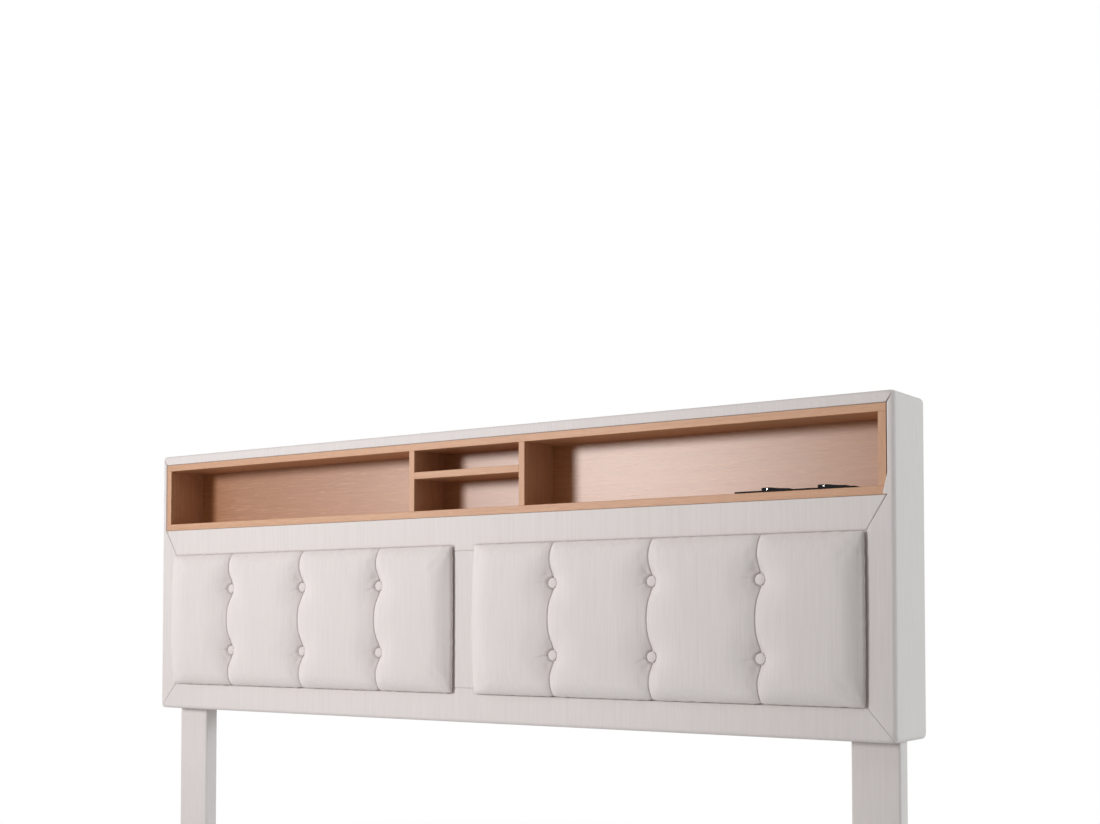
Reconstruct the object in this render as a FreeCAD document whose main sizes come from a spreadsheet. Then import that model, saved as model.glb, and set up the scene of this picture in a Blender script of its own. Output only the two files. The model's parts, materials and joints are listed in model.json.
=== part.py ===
import FreeCAD, Part
import math
import os
import re
import Sketcher

# Upholstered bookcase headboard on two legs.
# Millimetres. +X to the right of someone facing the front, front towards -Y, +Z up.
# The origin is on the floor, in the middle of the width and of the depth.

Vector = FreeCAD.Vector
SIDES = ("left", "right")

# Driving dimensions
SIZES = {
    # panel and its fabric border
    "panel_width": 2030,
    "panel_depth": 150,
    "panel_bottom": 460,
    "top_strip": 24,
    "middle_strip": 67,
    "bottom_strip": 65,
    "side_margin": 58,
    "centre_strip": 62,
    "cover_thick": 4,
    "cover_round": 3,
    "cloth_thick": 2,
    # wooden carcass inside the panel
    "end_thick": 9,
    "face_thick": 9,
    "rail_thick": 18,
    "rib_thick": 18,
    "back_thick": 9,
    # bookcase
    "case_margin": 17,
    "case_inset": 1,
    "case_board": 16,
    "case_clear": 140,
    "case_depth": 108,
    "case_gap": 2,
    "case_back_thick": 5,
    "case_round": 1,
    "centre_clear": 298,
    "shelf_clear": 74,
    "screw_radius": 2.5,
    "screw_head_radius": 5,
    "screw_head_height": 4,
    "screw_length": 50,
    "screw_edge": 25,
    "screw_clear": 0.2,
    "dowel_radius": 4,
    "dowel_depth": 12,
    "dowel_clear": 0.2,
    # cushions
    "cushion_height": 332,
    "cushion_proud": 24,
    "cushion_board": 5,
    "board_inset": 6,
    "channel_pitch": 247,
    "seam_rise": 13,
    "tuft_rise": 8,
    "edge_rise": 15,
    "rim_rise": 7,
    "rim_crown": 3,
    "pad_corner": 14,
    "pad_tuck": 6,
    "button_rows": 155,
    "button_radius": 11,
    "button_height": 7,
    "button_seat": 6,
    "button_clear": 0.4,
    "well_spread": 12,
    "fixing_rows": 240,
    "fixing_radius": 2,
    "fixing_head_radius": 4,
    "fixing_head_height": 3,
    "fixing_bite": 3,
    # legs
    "leg_width": 100,
    "leg_thick": 38,
    "leg_inset": 15,
    "leg_setback": 55,
    "leg_insert": 200,
    "leg_clear": 1,
    "sleeve_thick": 2,
    "sleeve_round": 4,
    "sleeve_tuck": 10,
    "foot_height": 6,
    "bolt_radius": 4,
    "bolt_clear": 0.5,
    "bolt_head_radius": 7.5,
    "bolt_head_height": 5.3,
    "bolt_low": 60,
    "bolt_spacing": 100,
    "bolt_access": 14,
    "washer_radius": 11,
    "washer_thick": 1.6,
    "nut_flange_radius": 11,
    "nut_flange_thick": 1.5,
    "nut_barrel_radius": 5.2,
    "nut_barrel_length": 10,
    "nut_clear": 0.1,
    "rail_hole_radius": 4.5,
    "rail_hole_low": 70,
    "rail_hole_spacing": 60,
    # power strip
    "plate_length": 256,
    "plate_width": 50,
    "plate_thick": 4,
    "plate_round": 6,
    "plate_setback": 8,
    "plate_wall_gap": 52,
    "lid_offset": 60,
    "lid_end_gap": 18,
    "lid_length": 58,
    "lid_width": 42,
    "lid_gap": 0.3,
    "lid_tip": 2.2,
    "lid_crown": 330,
    "hinge_reach": 12,
    "hinge_length": 19,
    "hinge_height": 6,
    "hinge_round": 2,
    "hinge_wall": 4,
    "pin_radius": 1.2,
    "pin_height": 3.2,
    "pin_clear": 0.05,
    "pin_seat_clear": 0.02,
    "knuckle_radius": 2.8,
    "outlet_length": 30,
    "outlet_width": 24,
    "outlet_depth": 20,
    "outlet_gap": 0.2,
    "blade_slot": 2.2,
    "blade_height": 7.5,
    "blade_pitch": 12.7,
    "earth_radius": 2.4,
    "socket_depth": 14,
    "housing_depth": 30,
    "housing_wall": 2,
    "housing_inset": 14,
    "housing_side": 4,
    "housing_clear": 1,
    "plate_screw_edge": 7,
    "plate_screw_radius": 1.6,
    "plate_screw_head": 3,
    "plate_screw_length": 15,
    "plate_screw_clear": 0.1,
}

# Places worked out from the driving dimensions
PLACES = {
    # depth, front to back
    "front_face": "(cushion_proud - panel_depth) / 2",
    "back_face": "front_face + panel_depth",
    "crown_front": "front_face - cushion_proud",
    "carcass_front": "front_face + cover_thick",
    "rail_front": "carcass_front + face_thick",
    "carcass_back": "back_face - cloth_thick",
    "inner_back": "carcass_back - back_thick",
    "case_front": "front_face + case_inset",
    "case_rear": "case_front + case_depth",
    "case_back_rear": "case_rear + case_back_thick",
    "pad_rear": "carcass_front - cushion_board",
    "leg_front": "front_face + leg_setback",
    "leg_back": "leg_front + leg_thick",
    "core_front": "leg_front + sleeve_thick",
    "core_back": "leg_back - sleeve_thick",
    "plate_front": "case_front + plate_setback",
    "plate_rear": "plate_front + plate_width",
    "plate_middle": "(plate_front + plate_rear) / 2",
    "lid_front": "plate_middle - lid_width / 2",
    "lid_rear": "plate_middle + lid_width / 2",
    "slot_front": "lid_front + hinge_wall",
    "slot_rear": "lid_rear - hinge_wall",
    "housing_front": "plate_front + housing_side",
    "housing_rear": "plate_rear - housing_side",
    # height, floor to top
    "cushion_low": "panel_bottom + bottom_strip",
    "cushion_high": "cushion_low + cushion_height",
    "cushion_mid_height": "(cushion_low + cushion_high) / 2",
    "case_low": "cushion_high + middle_strip",
    "case_floor": "case_low + case_board",
    "shelf_low": "case_floor + shelf_clear",
    "shelf_high": "shelf_low + case_board",
    "case_ceiling": "case_floor + case_clear",
    "case_high": "case_ceiling + case_board",
    "panel_top": "case_high + top_strip",
    "carcass_low": "panel_bottom + cover_thick",
    "carcass_high": "panel_top - cover_thick",
    "bottom_rail_high": "carcass_low + rail_thick",
    "middle_rail_low": "case_low - rail_thick",
    "top_rail_low": "case_high + case_gap",
    "leg_top": "carcass_low + leg_insert",
    "sleeve_top": "carcass_low + sleeve_tuck",
    "plate_top": "case_floor + plate_thick",
    "hinge_top": "plate_top + hinge_height",
    "pin_level": "plate_top + pin_height",
    "lid_low": "plate_top + lid_gap",
    "lid_tip_top": "lid_low + lid_tip",
    "lid_back_top": "pin_level + knuckle_radius",
    "outlet_top": "plate_top - outlet_gap",
    "housing_low": "case_floor - housing_depth",
    # width, middle outwards
    "half_width": "panel_width / 2",
    "carcass_half": "half_width - cover_thick",
    "end_inner": "carcass_half - end_thick",
    "case_half": "half_width - case_margin",
    "case_inner": "case_half - case_board",
    "partition_inner": "centre_clear / 2",
    "partition_outer": "partition_inner + case_board",
    "cushion_inner": "centre_strip / 2",
    "cushion_outer": "half_width - side_margin",
    "cushion_middle": "(cushion_inner + cushion_outer) / 2",
    "side_rib": "cushion_middle - channel_pitch / 2",
    "leg_outer": "half_width - leg_inset",
    "leg_inner": "leg_outer - leg_width",
    "leg_middle": "(leg_inner + leg_outer) / 2",
    "core_inner": "leg_inner + sleeve_thick",
    "core_outer": "leg_outer - sleeve_thick",
    "plate_right": "case_inner - plate_wall_gap",
    "plate_left": "plate_right - plate_length",
    "housing_left": "plate_left + housing_inset",
    "housing_right": "plate_right - housing_inset",
    "left_lid_start": "plate_left + lid_offset",
    "right_lid_start": "plate_right - lid_end_gap - lid_length",
    "left_lid_hinge_end": "left_lid_start + hinge_length",
    "right_lid_hinge_end": "right_lid_start + hinge_length",
    "left_lid_stop": "left_lid_start + hinge_wall",
    "right_lid_stop": "right_lid_start + hinge_wall",
    "left_lid_pin": "left_lid_start + hinge_reach",
    "right_lid_pin": "right_lid_start + hinge_reach",
    "left_lid_end": "left_lid_start + lid_length",
    "right_lid_end": "right_lid_start + lid_length",
    "left_lid_leaf": "left_lid_hinge_end + lid_gap",
    "right_lid_leaf": "right_lid_hinge_end + lid_gap",
    "left_lid_outlet": "(left_lid_leaf + left_lid_end) / 2",
    "right_lid_outlet": "(right_lid_leaf + right_lid_end) / 2",
}

NODES = []
doc = FreeCAD.newDocument("bookcase_headboard")


# Sheets and expressions


def qualified(text, inside=None):
    """Put its sheet's name before each size or place in an expression."""

    def lead(match):
        word = match.group(0)
        if word in SIZES:
            return "Sizes." + word
        if word in PLACES and inside != "Places":
            return "Places." + word
        return word

    return re.sub(r"[a-z][a-z_]*", lead, text)


def fill_sheets():
    """Write the driving dimensions as numbers and the places as formulas, one row each."""
    sizes = doc.addObject("Spreadsheet::Sheet", "Sizes")
    for row, (name, value) in enumerate(SIZES.items(), 1):
        sizes.set(f"A{row}", name)
        sizes.set(f"B{row}", str(value))
        sizes.setAlias(f"B{row}", name)
    doc.recompute()
    places = doc.addObject("Spreadsheet::Sheet", "Places")
    for row, (name, formula) in enumerate(PLACES.items(), 1):
        places.set(f"A{row}", name)
        places.set(f"B{row}", "=" + qualified(formula, "Places"))
        places.setAlias(f"B{row}", name)
    doc.recompute()


def number(name):
    """Present value of a size or place, or of the same name with a minus sign."""
    sign = -1 if name.startswith("-") else 1
    word = name.lstrip("-")
    sheet = doc.Sizes if word in SIZES else doc.Places
    return sign * float(getattr(sheet, word))


def bind(part, expressions):
    for target, text in expressions.items():
        part.setExpression(target, qualified(text))


def at(side, place):
    """The place on the right side, or its mirror image on the left."""
    return place if side == "right" else "-" + place


def across(side, low, high):
    """A stretch of X on the right side, or its mirror image on the left."""
    if side == "right":
        return (low, high)
    return (f"-({high})", f"-({low})")


def node(part, label):
    """Give a finished sub-part the name that its file gets."""
    part.Label = label
    NODES.append(part)
    return part


# Solids from primitives

TURNS = {
    "x": FreeCAD.Rotation(Vector(0, 1, 0), 90),
    "y": FreeCAD.Rotation(Vector(1, 0, 0), -90),
    "z": FreeCAD.Rotation(),
}


def block(name, x, y, z):
    """A box between two places along each axis."""
    part = doc.addObject("Part::Box", name)
    for size, axis, (low, high) in (("Length", "x", x), ("Width", "y", y), ("Height", "z", z)):
        bind(part, {size: f"({high}) - ({low})", f"Placement.Base.{axis}": low})
    return part


def rod(name, axis, start, radius, length):
    """A cylinder from a start point along one axis."""
    part = doc.addObject("Part::Cylinder", name)
    part.Placement = FreeCAD.Placement(Vector(), TURNS[axis])
    bind(part, {"Radius": radius, "Height": length})
    bind(part, {f"Placement.Base.{key}": place for key, place in zip("xyz", start)})
    return part


def group(name, parts):
    part = doc.addObject("Part::Compound", name)
    part.Links = parts
    return part


def fuse(name, parts):
    part = doc.addObject("Part::MultiFuse", name)
    part.Shapes = parts
    return part


def cut(name, base, tool):
    part = doc.addObject("Part::Cut", name)
    part.Base = base
    part.Tool = tool
    return part


def fastener(name, axis, head_face, inward, head, shank, spare="0"):
    """A round head and a shank: head_face is the middle of the head's outer face."""
    along = "xyz".index(axis)

    def start(depth):
        point = list(head_face)
        if inward < 0:
            point[along] = f"{point[along]} - ({depth})"
        return point

    head_radius, head_height = head
    shank_radius, length = shank
    whole = f"{length} + {spare}"
    return fuse(name, [
        rod(name + "_head", axis, start(head_height), f"{head_radius} + {spare}", head_height),
        rod(name + "_shank", axis, start(whole), f"{shank_radius} + {spare}", whole),
    ])


# Solids from sketches


def sketch_on(body, name, role, level):
    """An empty sketch on an origin plane of the body, moved out along the plane's normal."""
    sketch = body.newObject("Sketcher::SketchObject", name)
    plane = next(item for item in body.Origin.OriginFeatures if item.Role == role)
    sketch.AttachmentSupport = [(plane, "")]
    sketch.MapMode = "FlatFace"
    bind(sketch, {"AttachmentOffset.Base.z": level})
    return sketch


def side_curve(start, end, radius):
    """A straight side, or an arc of the radius that bulges to the left of the way from start to end."""
    if radius is None:
        return Part.LineSegment(start, end)
    chord = end - start
    outward = Vector(-chord.y, chord.x, 0).normalize()
    sagitta = radius - math.sqrt(radius ** 2 - (chord.Length / 2) ** 2)
    return Part.Arc(start, (start + end) * 0.5 + outward * sagitta, end)


def outline(body, name, role, level, points, arcs=None):
    """A closed outline with each corner tied to two places; arcs gives the radius of a curved side."""
    arcs = arcs or {}
    sketch = sketch_on(body, name, role, level)
    corners = [Vector(number(u), number(v), 0) for u, v in points]
    first_end = []
    for index, corner in enumerate(corners):
        radius = number(arcs[index]) if index in arcs else None
        sketch.addGeometry(side_curve(corner, corners[(index + 1) % len(corners)], radius), False)
        starts_here = (sketch.getPoint(index, 1) - corner).Length < 1e-6
        first_end.append(1 if starts_here else 2)
    for index in range(len(points)):
        after = (index + 1) % len(points)
        join = Sketcher.Constraint("Coincident", index, 3 - first_end[index], after, first_end[after])
        sketch.addConstraint(join)
    for index, (corner, pair) in enumerate(zip(corners, points)):
        for kind, value, place in (("DistanceX", corner.x, pair[0]), ("DistanceY", corner.y, pair[1])):
            tie = sketch.addConstraint(Sketcher.Constraint(kind, index, first_end[index], value))
            bind(sketch, {f"Constraints[{tie}]": place})
    for index, name_of_radius in arcs.items():
        tie = sketch.addConstraint(Sketcher.Constraint("Radius", index, number(name_of_radius)))
        bind(sketch, {f"Constraints[{tie}]": name_of_radius})
    return sketch


def circles(body, name, role, level, centres, radius, spare="0"):
    """Round outlines of one size; each centre is tied to two places."""
    sketch = sketch_on(body, name, role, level)
    for index, (u, v) in enumerate(centres):
        middle = Vector(number(u), number(v), 0)
        sketch.addGeometry(Part.Circle(middle, Vector(0, 0, 1), number(radius)), False)
        for kind, value, place in (("DistanceX", middle.x, u), ("DistanceY", middle.y, v)):
            tie = sketch.addConstraint(Sketcher.Constraint(kind, index, 3, value))
            bind(sketch, {f"Constraints[{tie}]": place})
        tie = sketch.addConstraint(Sketcher.Constraint("Radius", index, number(radius)))
        bind(sketch, {f"Constraints[{tie}]": f"{radius} + {spare}"})
    return sketch


def pad(body, sketch, length, reverse=False):
    feature = body.newObject("PartDesign::Pad", sketch.Name + "_pad")
    feature.Profile = sketch
    feature.Reversed = reverse
    bind(feature, {"Length": length})
    doc.recompute()
    return feature


def pocket(body, sketch, length, reverse=False):
    """Cut the outline out of the body, and stop if nothing was removed."""
    before = body.Tip.Shape.Volume
    feature = body.newObject("PartDesign::Pocket", sketch.Name + "_pocket")
    feature.Profile = sketch
    feature.Reversed = reverse
    bind(feature, {"Length": length})
    doc.recompute()
    if feature.Shape.Volume >= before - 1e-6:
        raise RuntimeError(feature.Name + " removes nothing")
    return feature


def edge_names(shape, places):
    """Names of the straight edges whose ends both lie at the given coordinates."""
    def lies_there(vertex):
        return all(abs(getattr(vertex.Point, axis) - value) < 1e-4 for axis, value in places.items())

    return [
        f"Edge{index}"
        for index, edge in enumerate(shape.Edges, 1)
        if all(lies_there(vertex) for vertex in edge.Vertexes)
    ]


def dress(body, kind, size_property, size, corners):
    """Fillet or chamfer the edges of the body that lie at any of the given coordinates."""
    base = body.Tip
    names = []
    for places in corners:
        names += edge_names(base.Shape, places)
    feature = body.newObject("PartDesign::" + kind, f"{body.Name}_{kind.lower()}")
    feature.Base = (base, names)
    bind(feature, {size_property: size})
    doc.recompute()
    return feature


# Carcass


def leg_bolt_places(side):
    """Middle of each leg bolt of one side, on the X and Z axes."""
    heights = ("carcass_low + bolt_low", "carcass_low + bolt_low + bolt_spacing")
    return [(at(side, "leg_middle"), height) for height in heights]


def leg_bolt_holes():
    """Clearance holes right through for the leg bolts, with a seat for the tee nuts in front."""
    holes = []
    for side in SIDES:
        for index, (x, z) in enumerate(leg_bolt_places(side)):
            name = f"{side}_bolt_hole_{index}"
            holes.append(fuse(name, [
                rod(name + "_bore", "y", (x, "rail_front", z), "bolt_radius + bolt_clear",
                    "inner_back - rail_front"),
                rod(name + "_flange", "y", (x, "rail_front", z), "nut_flange_radius + nut_clear",
                    "nut_flange_thick"),
                rod(name + "_barrel", "y", (x, "rail_front", z), "nut_barrel_radius + nut_clear",
                    "nut_flange_thick + nut_barrel_length"),
            ]))
    return group("leg_bolt_holes", holes)


def bolt_access_holes():
    """Wide holes in the back through which a spanner reaches the leg bolts."""
    holes = []
    for side in SIDES:
        for index, (x, z) in enumerate(leg_bolt_places(side)):
            holes.append(rod(f"{side}_access_{index}", "y", (x, "inner_back", z), "bolt_access",
                             "back_face - inner_back"))
    return group("bolt_access_holes", holes)


def make_end_panels():
    for side in SIDES:
        panel = block(f"{side}_end_panel", across(side, "end_inner", "carcass_half"),
                      ("carcass_front", "inner_back"), ("carcass_low", "carcass_high"))
        node(panel, f"{side}_end_panel")


def make_rails():
    """Top rail over the bookcase, middle rail under it, bottom rail forked round the legs."""
    width = ("-end_inner", "end_inner")
    depth = ("rail_front", "inner_back")
    top = block("top_rail", width, ("carcass_front", "inner_back"), ("top_rail_low", "carcass_high"))
    node(top, "top_rail")
    middle = block("middle_rail_blank", width, depth, ("middle_rail_low", "case_low"))
    node(cut("middle_rail", middle, housing_cutter("middle_rail_cutter")), "middle_rail")
    bottom = block("bottom_rail_blank", width, depth, ("carcass_low", "bottom_rail_high"))
    notches = [
        block(f"{side}_rail_notch", across(side, "leg_inner - leg_clear", "half_width"),
              ("leg_front - leg_clear", "leg_back + leg_clear"), ("carcass_low", "bottom_rail_high"))
        for side in SIDES
    ]
    node(cut("bottom_rail", bottom, group("rail_notches", notches)), "bottom_rail")


def make_ribs():
    height = ("bottom_rail_high", "middle_rail_low")
    depth = ("rail_front", "inner_back")
    node(block("centre_rib", ("-rib_thick / 2", "rib_thick / 2"), depth, height), "centre_rib")
    for side in SIDES:
        width = across(side, "side_rib - rib_thick / 2", "side_rib + rib_thick / 2")
        node(block(f"{side}_rib", width, depth, height), f"{side}_rib")


def make_uprights(bolt_holes):
    """A front and a rear post on each side, with the leg's upper end clamped between them."""
    height = ("bottom_rail_high", "middle_rail_low")
    stretches = {"front": ("rail_front", "core_front"), "rear": ("core_back", "inner_back")}
    for side in SIDES:
        for place, depth in stretches.items():
            name = f"{side}_{place}_upright"
            blank = block(name + "_blank", across(side, "core_inner", "end_inner"), depth, height)
            node(cut(name, blank, bolt_holes), name)


def make_boards(fixing_holes, access_holes):
    """Face board that carries the cushions, back board, and the cloth over it."""
    face = block("face_board_blank", ("-end_inner", "end_inner"), ("carcass_front", "rail_front"),
                 ("carcass_low", "case_low"))
    node(cut("face_board", face, fixing_holes), "face_board")
    width = ("-carcass_half", "carcass_half")
    height = ("carcass_low", "carcass_high")
    back = block("back_board_blank", width, ("inner_back", "carcass_back"), height)
    node(cut("back_board", back, access_holes), "back_board")
    cloth = block("back_cloth_blank", width, ("carcass_back", "back_face"), height)
    node(cut("back_cloth", cloth, access_holes), "back_cloth")


# Fabric border covers


def make_top_cover():
    """Fabric over the top: a front strip with mitred ends, and the top face."""
    body = doc.addObject("PartDesign::Body", "top_cover")
    strip = outline(body, "top_strip_outline", "XZ_Plane", "-carcass_front", [
        ("-half_width", "panel_top"), ("half_width", "panel_top"),
        ("case_half", "case_high"), ("-case_half", "case_high"),
    ])
    pad(body, strip, "cover_thick")
    top = outline(body, "top_face_outline", "XY_Plane", "carcass_high", [
        ("-half_width", "carcass_front"), ("half_width", "carcass_front"),
        ("half_width", "back_face"), ("-half_width", "back_face"),
    ])
    pad(body, top, "cover_thick")
    round_off = {"y": number("front_face"), "z": number("panel_top")}
    dress(body, "Fillet", "Radius", "cover_round", [round_off])
    node(body, "top_cover")


def make_side_covers():
    """Fabric round each end: a front border with mitred corners, and the end face."""
    for side in SIDES:
        body = doc.addObject("PartDesign::Body", f"{side}_side_cover")
        border = outline(body, f"{side}_border_outline", "XZ_Plane", "-carcass_front", [
            (at(side, "half_width"), "panel_bottom"), (at(side, "half_width"), "panel_top"),
            (at(side, "case_half"), "case_high"), (at(side, "case_half"), "case_low"),
            (at(side, "cushion_outer"), "cushion_high"), (at(side, "cushion_outer"), "cushion_low"),
        ])
        pad(body, border, "cover_thick")
        end_face = outline(body, f"{side}_end_outline", "XY_Plane", "panel_bottom", [
            (at(side, "half_width"), "carcass_front"), (at(side, "half_width"), "back_face"),
            (at(side, "carcass_half"), "back_face"), (at(side, "carcass_half"), "carcass_front"),
        ])
        pad(body, end_face, "carcass_high - panel_bottom")
        round_off = {"x": number(at(side, "half_width")), "y": number("front_face")}
        dress(body, "Fillet", "Radius", "cover_round", [round_off])
        node(body, f"{side}_side_cover")


def make_middle_cover():
    body = doc.addObject("PartDesign::Body", "middle_cover")
    strip = outline(body, "middle_strip_outline", "XZ_Plane", "-carcass_front", [
        ("-case_half", "case_low"), ("case_half", "case_low"),
        ("cushion_outer", "cushion_high"), ("-cushion_outer", "cushion_high"),
    ])
    pad(body, strip, "cover_thick")
    node(body, "middle_cover")


def make_bottom_cover():
    """Fabric under the panel: a front strip with mitred ends, and the underside with leg holes."""
    body = doc.addObject("PartDesign::Body", "bottom_cover")
    strip = outline(body, "bottom_strip_outline", "XZ_Plane", "-carcass_front", [
        ("-half_width", "panel_bottom"), ("half_width", "panel_bottom"),
        ("cushion_outer", "cushion_low"), ("-cushion_outer", "cushion_low"),
    ])
    pad(body, strip, "cover_thick")
    underside = outline(body, "underside_outline", "XY_Plane", "panel_bottom", [
        ("-carcass_half", "carcass_front"), ("carcass_half", "carcass_front"),
        ("carcass_half", "back_face"), ("-carcass_half", "back_face"),
    ])
    pad(body, underside, "cover_thick")
    for side in SIDES:
        leg_hole = outline(body, f"{side}_leg_hole", "XY_Plane", "carcass_low", [
            (at(side, "leg_inner"), "leg_front"), (at(side, "leg_outer"), "leg_front"),
            (at(side, "leg_outer"), "leg_back"), (at(side, "leg_inner"), "leg_back"),
        ])
        pocket(body, leg_hole, "cover_thick")
    node(body, "bottom_cover")


def make_centre_cover():
    body = doc.addObject("PartDesign::Body", "centre_cover")
    strip = outline(body, "centre_strip_outline", "XZ_Plane", "-carcass_front", [
        ("-cushion_inner", "cushion_low"), ("cushion_inner", "cushion_low"),
        ("cushion_inner", "cushion_high"), ("-cushion_inner", "cushion_high"),
    ])
    pad(body, strip, "cover_thick")
    node(body, "centre_cover")


# Bookcase


def case_screws(spare="0", suffix=""):
    """Screws down through the top board and up through the bottom board into each upright board."""
    head = ("screw_head_radius", "screw_head_height")
    shank = ("screw_radius", "screw_length")
    columns = ("case_half - case_board / 2", "partition_inner + case_board / 2")
    rows = ("case_front + screw_edge", "case_rear - screw_edge")
    ends = (("case_high", -1), ("case_low", 1))
    screws = []
    for sign in ("-1", "1"):
        for column in columns:
            for row in rows:
                for level, inward in ends:
                    name = f"case_screw_{len(screws)}{suffix}"
                    middle = (f"{sign} * ({column})", row, level)
                    screws.append(fastener(name, "z", middle, inward, head, shank, spare))
    return group("case_screws" + suffix, screws)


def shelf_dowels(spare="0", suffix=""):
    """Two dowels at each end of the cubby shelf, half in the shelf and half in the partition."""
    dowels = []
    for sign in ("-1", "1"):
        for row in ("case_front + screw_edge", "case_rear - screw_edge"):
            start = (f"{sign} * partition_inner - dowel_depth - {spare}", row, "(shelf_low + shelf_high) / 2")
            name = f"shelf_dowel_{len(dowels)}{suffix}"
            dowels.append(rod(name, "x", start, f"dowel_radius + {spare}", f"2 * (dowel_depth + {spare})"))
    return group("shelf_dowels" + suffix, dowels)


def eased(name, board, edges):
    """Ease the front edges of a bookcase board; edges gives the height or X of each."""
    doc.recompute()
    part = doc.addObject("Part::Fillet", name)
    part.Base = board
    radius = number("case_round")
    picked = []
    for places in edges:
        found = edge_names(board.Shape, dict(places, y=number("case_front")))
        picked += [(int(label[4:]), radius, radius) for label in found]
    part.Edges = picked
    return part


def make_bookcase():
    node(case_screws(), "case_screws")
    node(shelf_dowels(), "shelf_dowels")
    screw_holes = case_screws("screw_clear", "_holes")
    dowel_holes = shelf_dowels("dowel_clear", "_holes")
    depth = ("case_front", "case_rear")
    width = ("-case_half", "case_half")

    top = block("case_top_blank", width, depth, ("case_ceiling", "case_high"))
    top_eased = eased("case_top_eased", top, [{"z": number("case_ceiling")}])
    node(cut("case_top", top_eased, screw_holes), "case_top")

    bottom = block("case_bottom_blank", width, depth, ("case_low", "case_floor"))
    bottom_eased = eased("case_bottom_eased", bottom, [{"z": number("case_floor")}])
    openings = group("case_bottom_openings", [
        screw_holes, housing_cutter("case_bottom_cutter"), plate_screws("plate_screw_clear", "_holes"),
    ])
    node(cut("case_bottom", bottom_eased, openings), "case_bottom")

    between = ("case_floor", "case_ceiling")
    for side in SIDES:
        board = block(f"case_{side}_blank", across(side, "case_inner", "case_half"), depth, between)
        board_eased = eased(f"case_{side}_eased", board, [{"x": number(at(side, "case_inner"))}])
        node(cut(f"case_{side}_side", board_eased, screw_holes), f"case_{side}_side")

        wall_width = across(side, "partition_inner", "partition_outer")
        wall = block(f"{side}_partition_blank", wall_width, depth, between)
        wall_edges = [{"x": number(at(side, place))} for place in ("partition_inner", "partition_outer")]
        wall_eased = eased(f"{side}_partition_eased", wall, wall_edges)
        wall_holes = group(f"{side}_partition_holes", [screw_holes, dowel_holes])
        node(cut(f"{side}_partition", wall_eased, wall_holes), f"{side}_partition")

    shelf_width = ("-partition_inner", "partition_inner")
    shelf = block("cubby_shelf_blank", shelf_width, depth, ("shelf_low", "shelf_high"))
    shelf_edges = [{"z": number(place)} for place in ("shelf_low", "shelf_high")]
    node(cut("cubby_shelf", eased("cubby_shelf_eased", shelf, shelf_edges), dowel_holes), "cubby_shelf")
    node(block("case_back", width, ("case_rear", "case_back_rear"), ("case_low", "case_high")), "case_back")


# Cushions


def cushion_fixings(spare="0", suffix=""):
    """Screws from behind the face board into the cushion boards, along the seams."""
    head = ("fixing_head_radius", "fixing_head_height")
    shank = ("fixing_radius", "fixing_head_height + face_thick + fixing_bite")
    screws = []
    for sign in ("-1", "1"):
        for column in ("cushion_middle - channel_pitch", "cushion_middle", "cushion_middle + channel_pitch"):
            for row in ("cushion_mid_height - fixing_rows / 2", "cushion_mid_height + fixing_rows / 2"):
                name = f"cushion_fixing_{len(screws)}{suffix}"
                middle = (f"{sign} * ({column})", "rail_front + fixing_head_height", row)
                screws.append(fastener(name, "y", middle, -1, head, shank, spare))
    return group("cushion_fixings" + suffix, screws)


def make_cushion_boards(fixing_holes):
    for side in SIDES:
        name = f"{side}_cushion_board"
        width = across(side, "cushion_inner + board_inset", "cushion_outer - board_inset")
        height = ("cushion_low + board_inset", "cushion_high - board_inset")
        blank = block(name + "_blank", width, ("pad_rear", "carcass_front"), height)
        node(cut(name, blank, fixing_holes), name)


def pad_levels():
    """Heights of the pad's cross-sections, as shares of its height: rims, button rows and middle."""
    row = (1 - number("button_rows") / number("cushion_height")) / 2
    lower = [0, 0.03, 0.1, row]
    return lower + [0.5] + [1 - share for share in reversed(lower)]


def pad_section(share):
    """Outline of the pad at one height: a flat back, rounded sides and four crowned channels."""
    swell = 1 - abs(2 * share - 1) ** 4
    middle_pull = abs(2 * share - 1)
    level = number("cushion_low") + share * number("cushion_height")
    rear = number("pad_rear")
    rim = number("rim_rise")

    def rise(full):
        return rim + (full - rim) * swell

    crown = number("rim_crown") * (1 - swell) + rise(rear - number("crown_front"))
    edge = rise(number("edge_rise"))
    between_rows = 1 - min(1, middle_pull * number("cushion_height") / number("button_rows"))
    seam = rise(number("tuft_rise") + (number("seam_rise") - number("tuft_rise")) * between_rows)
    tuck = number("pad_tuck") * middle_pull ** 3
    low = number("cushion_inner") + tuck
    high = number("cushion_outer") - tuck
    corner = number("pad_corner")
    pitch = number("channel_pitch")
    middle = number("cushion_middle")

    def point(x, height):
        return Vector(x, rear - height, level)

    def arc(start, through, end):
        return Part.Arc(start, through, end).toShape()

    seams = [(middle + step * pitch, seam) for step in (-1, 0, 1)]
    stops = [(low + corner, edge)] + seams + [(high - corner, edge)]
    bend = corner * (1 - math.sqrt(0.5))
    edges = [
        Part.LineSegment(point(high, 0), point(low, 0)).toShape(),
        arc(point(low, 0), point(low + bend, edge - bend * edge / corner), point(*stops[0])),
    ]
    for (x_start, y_start), (x_end, y_end) in zip(stops, stops[1:]):
        edges.append(arc(point(x_start, y_start), point((x_start + x_end) / 2, crown), point(x_end, y_end)))
    edges.append(arc(point(*stops[-1]), point(high - bend, edge - bend * edge / corner), point(high, 0)))
    return Part.Wire(edges)


def button_places():
    """Middle of each button of the right cushion, on the X and Z axes."""
    heights = [number("cushion_mid_height") + step * number("button_rows") / 2 for step in (-1, 1)]
    columns = [number("cushion_middle") + step * number("channel_pitch") for step in (-1, 0, 1)]
    return [(x, z) for x in columns for z in heights]


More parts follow.
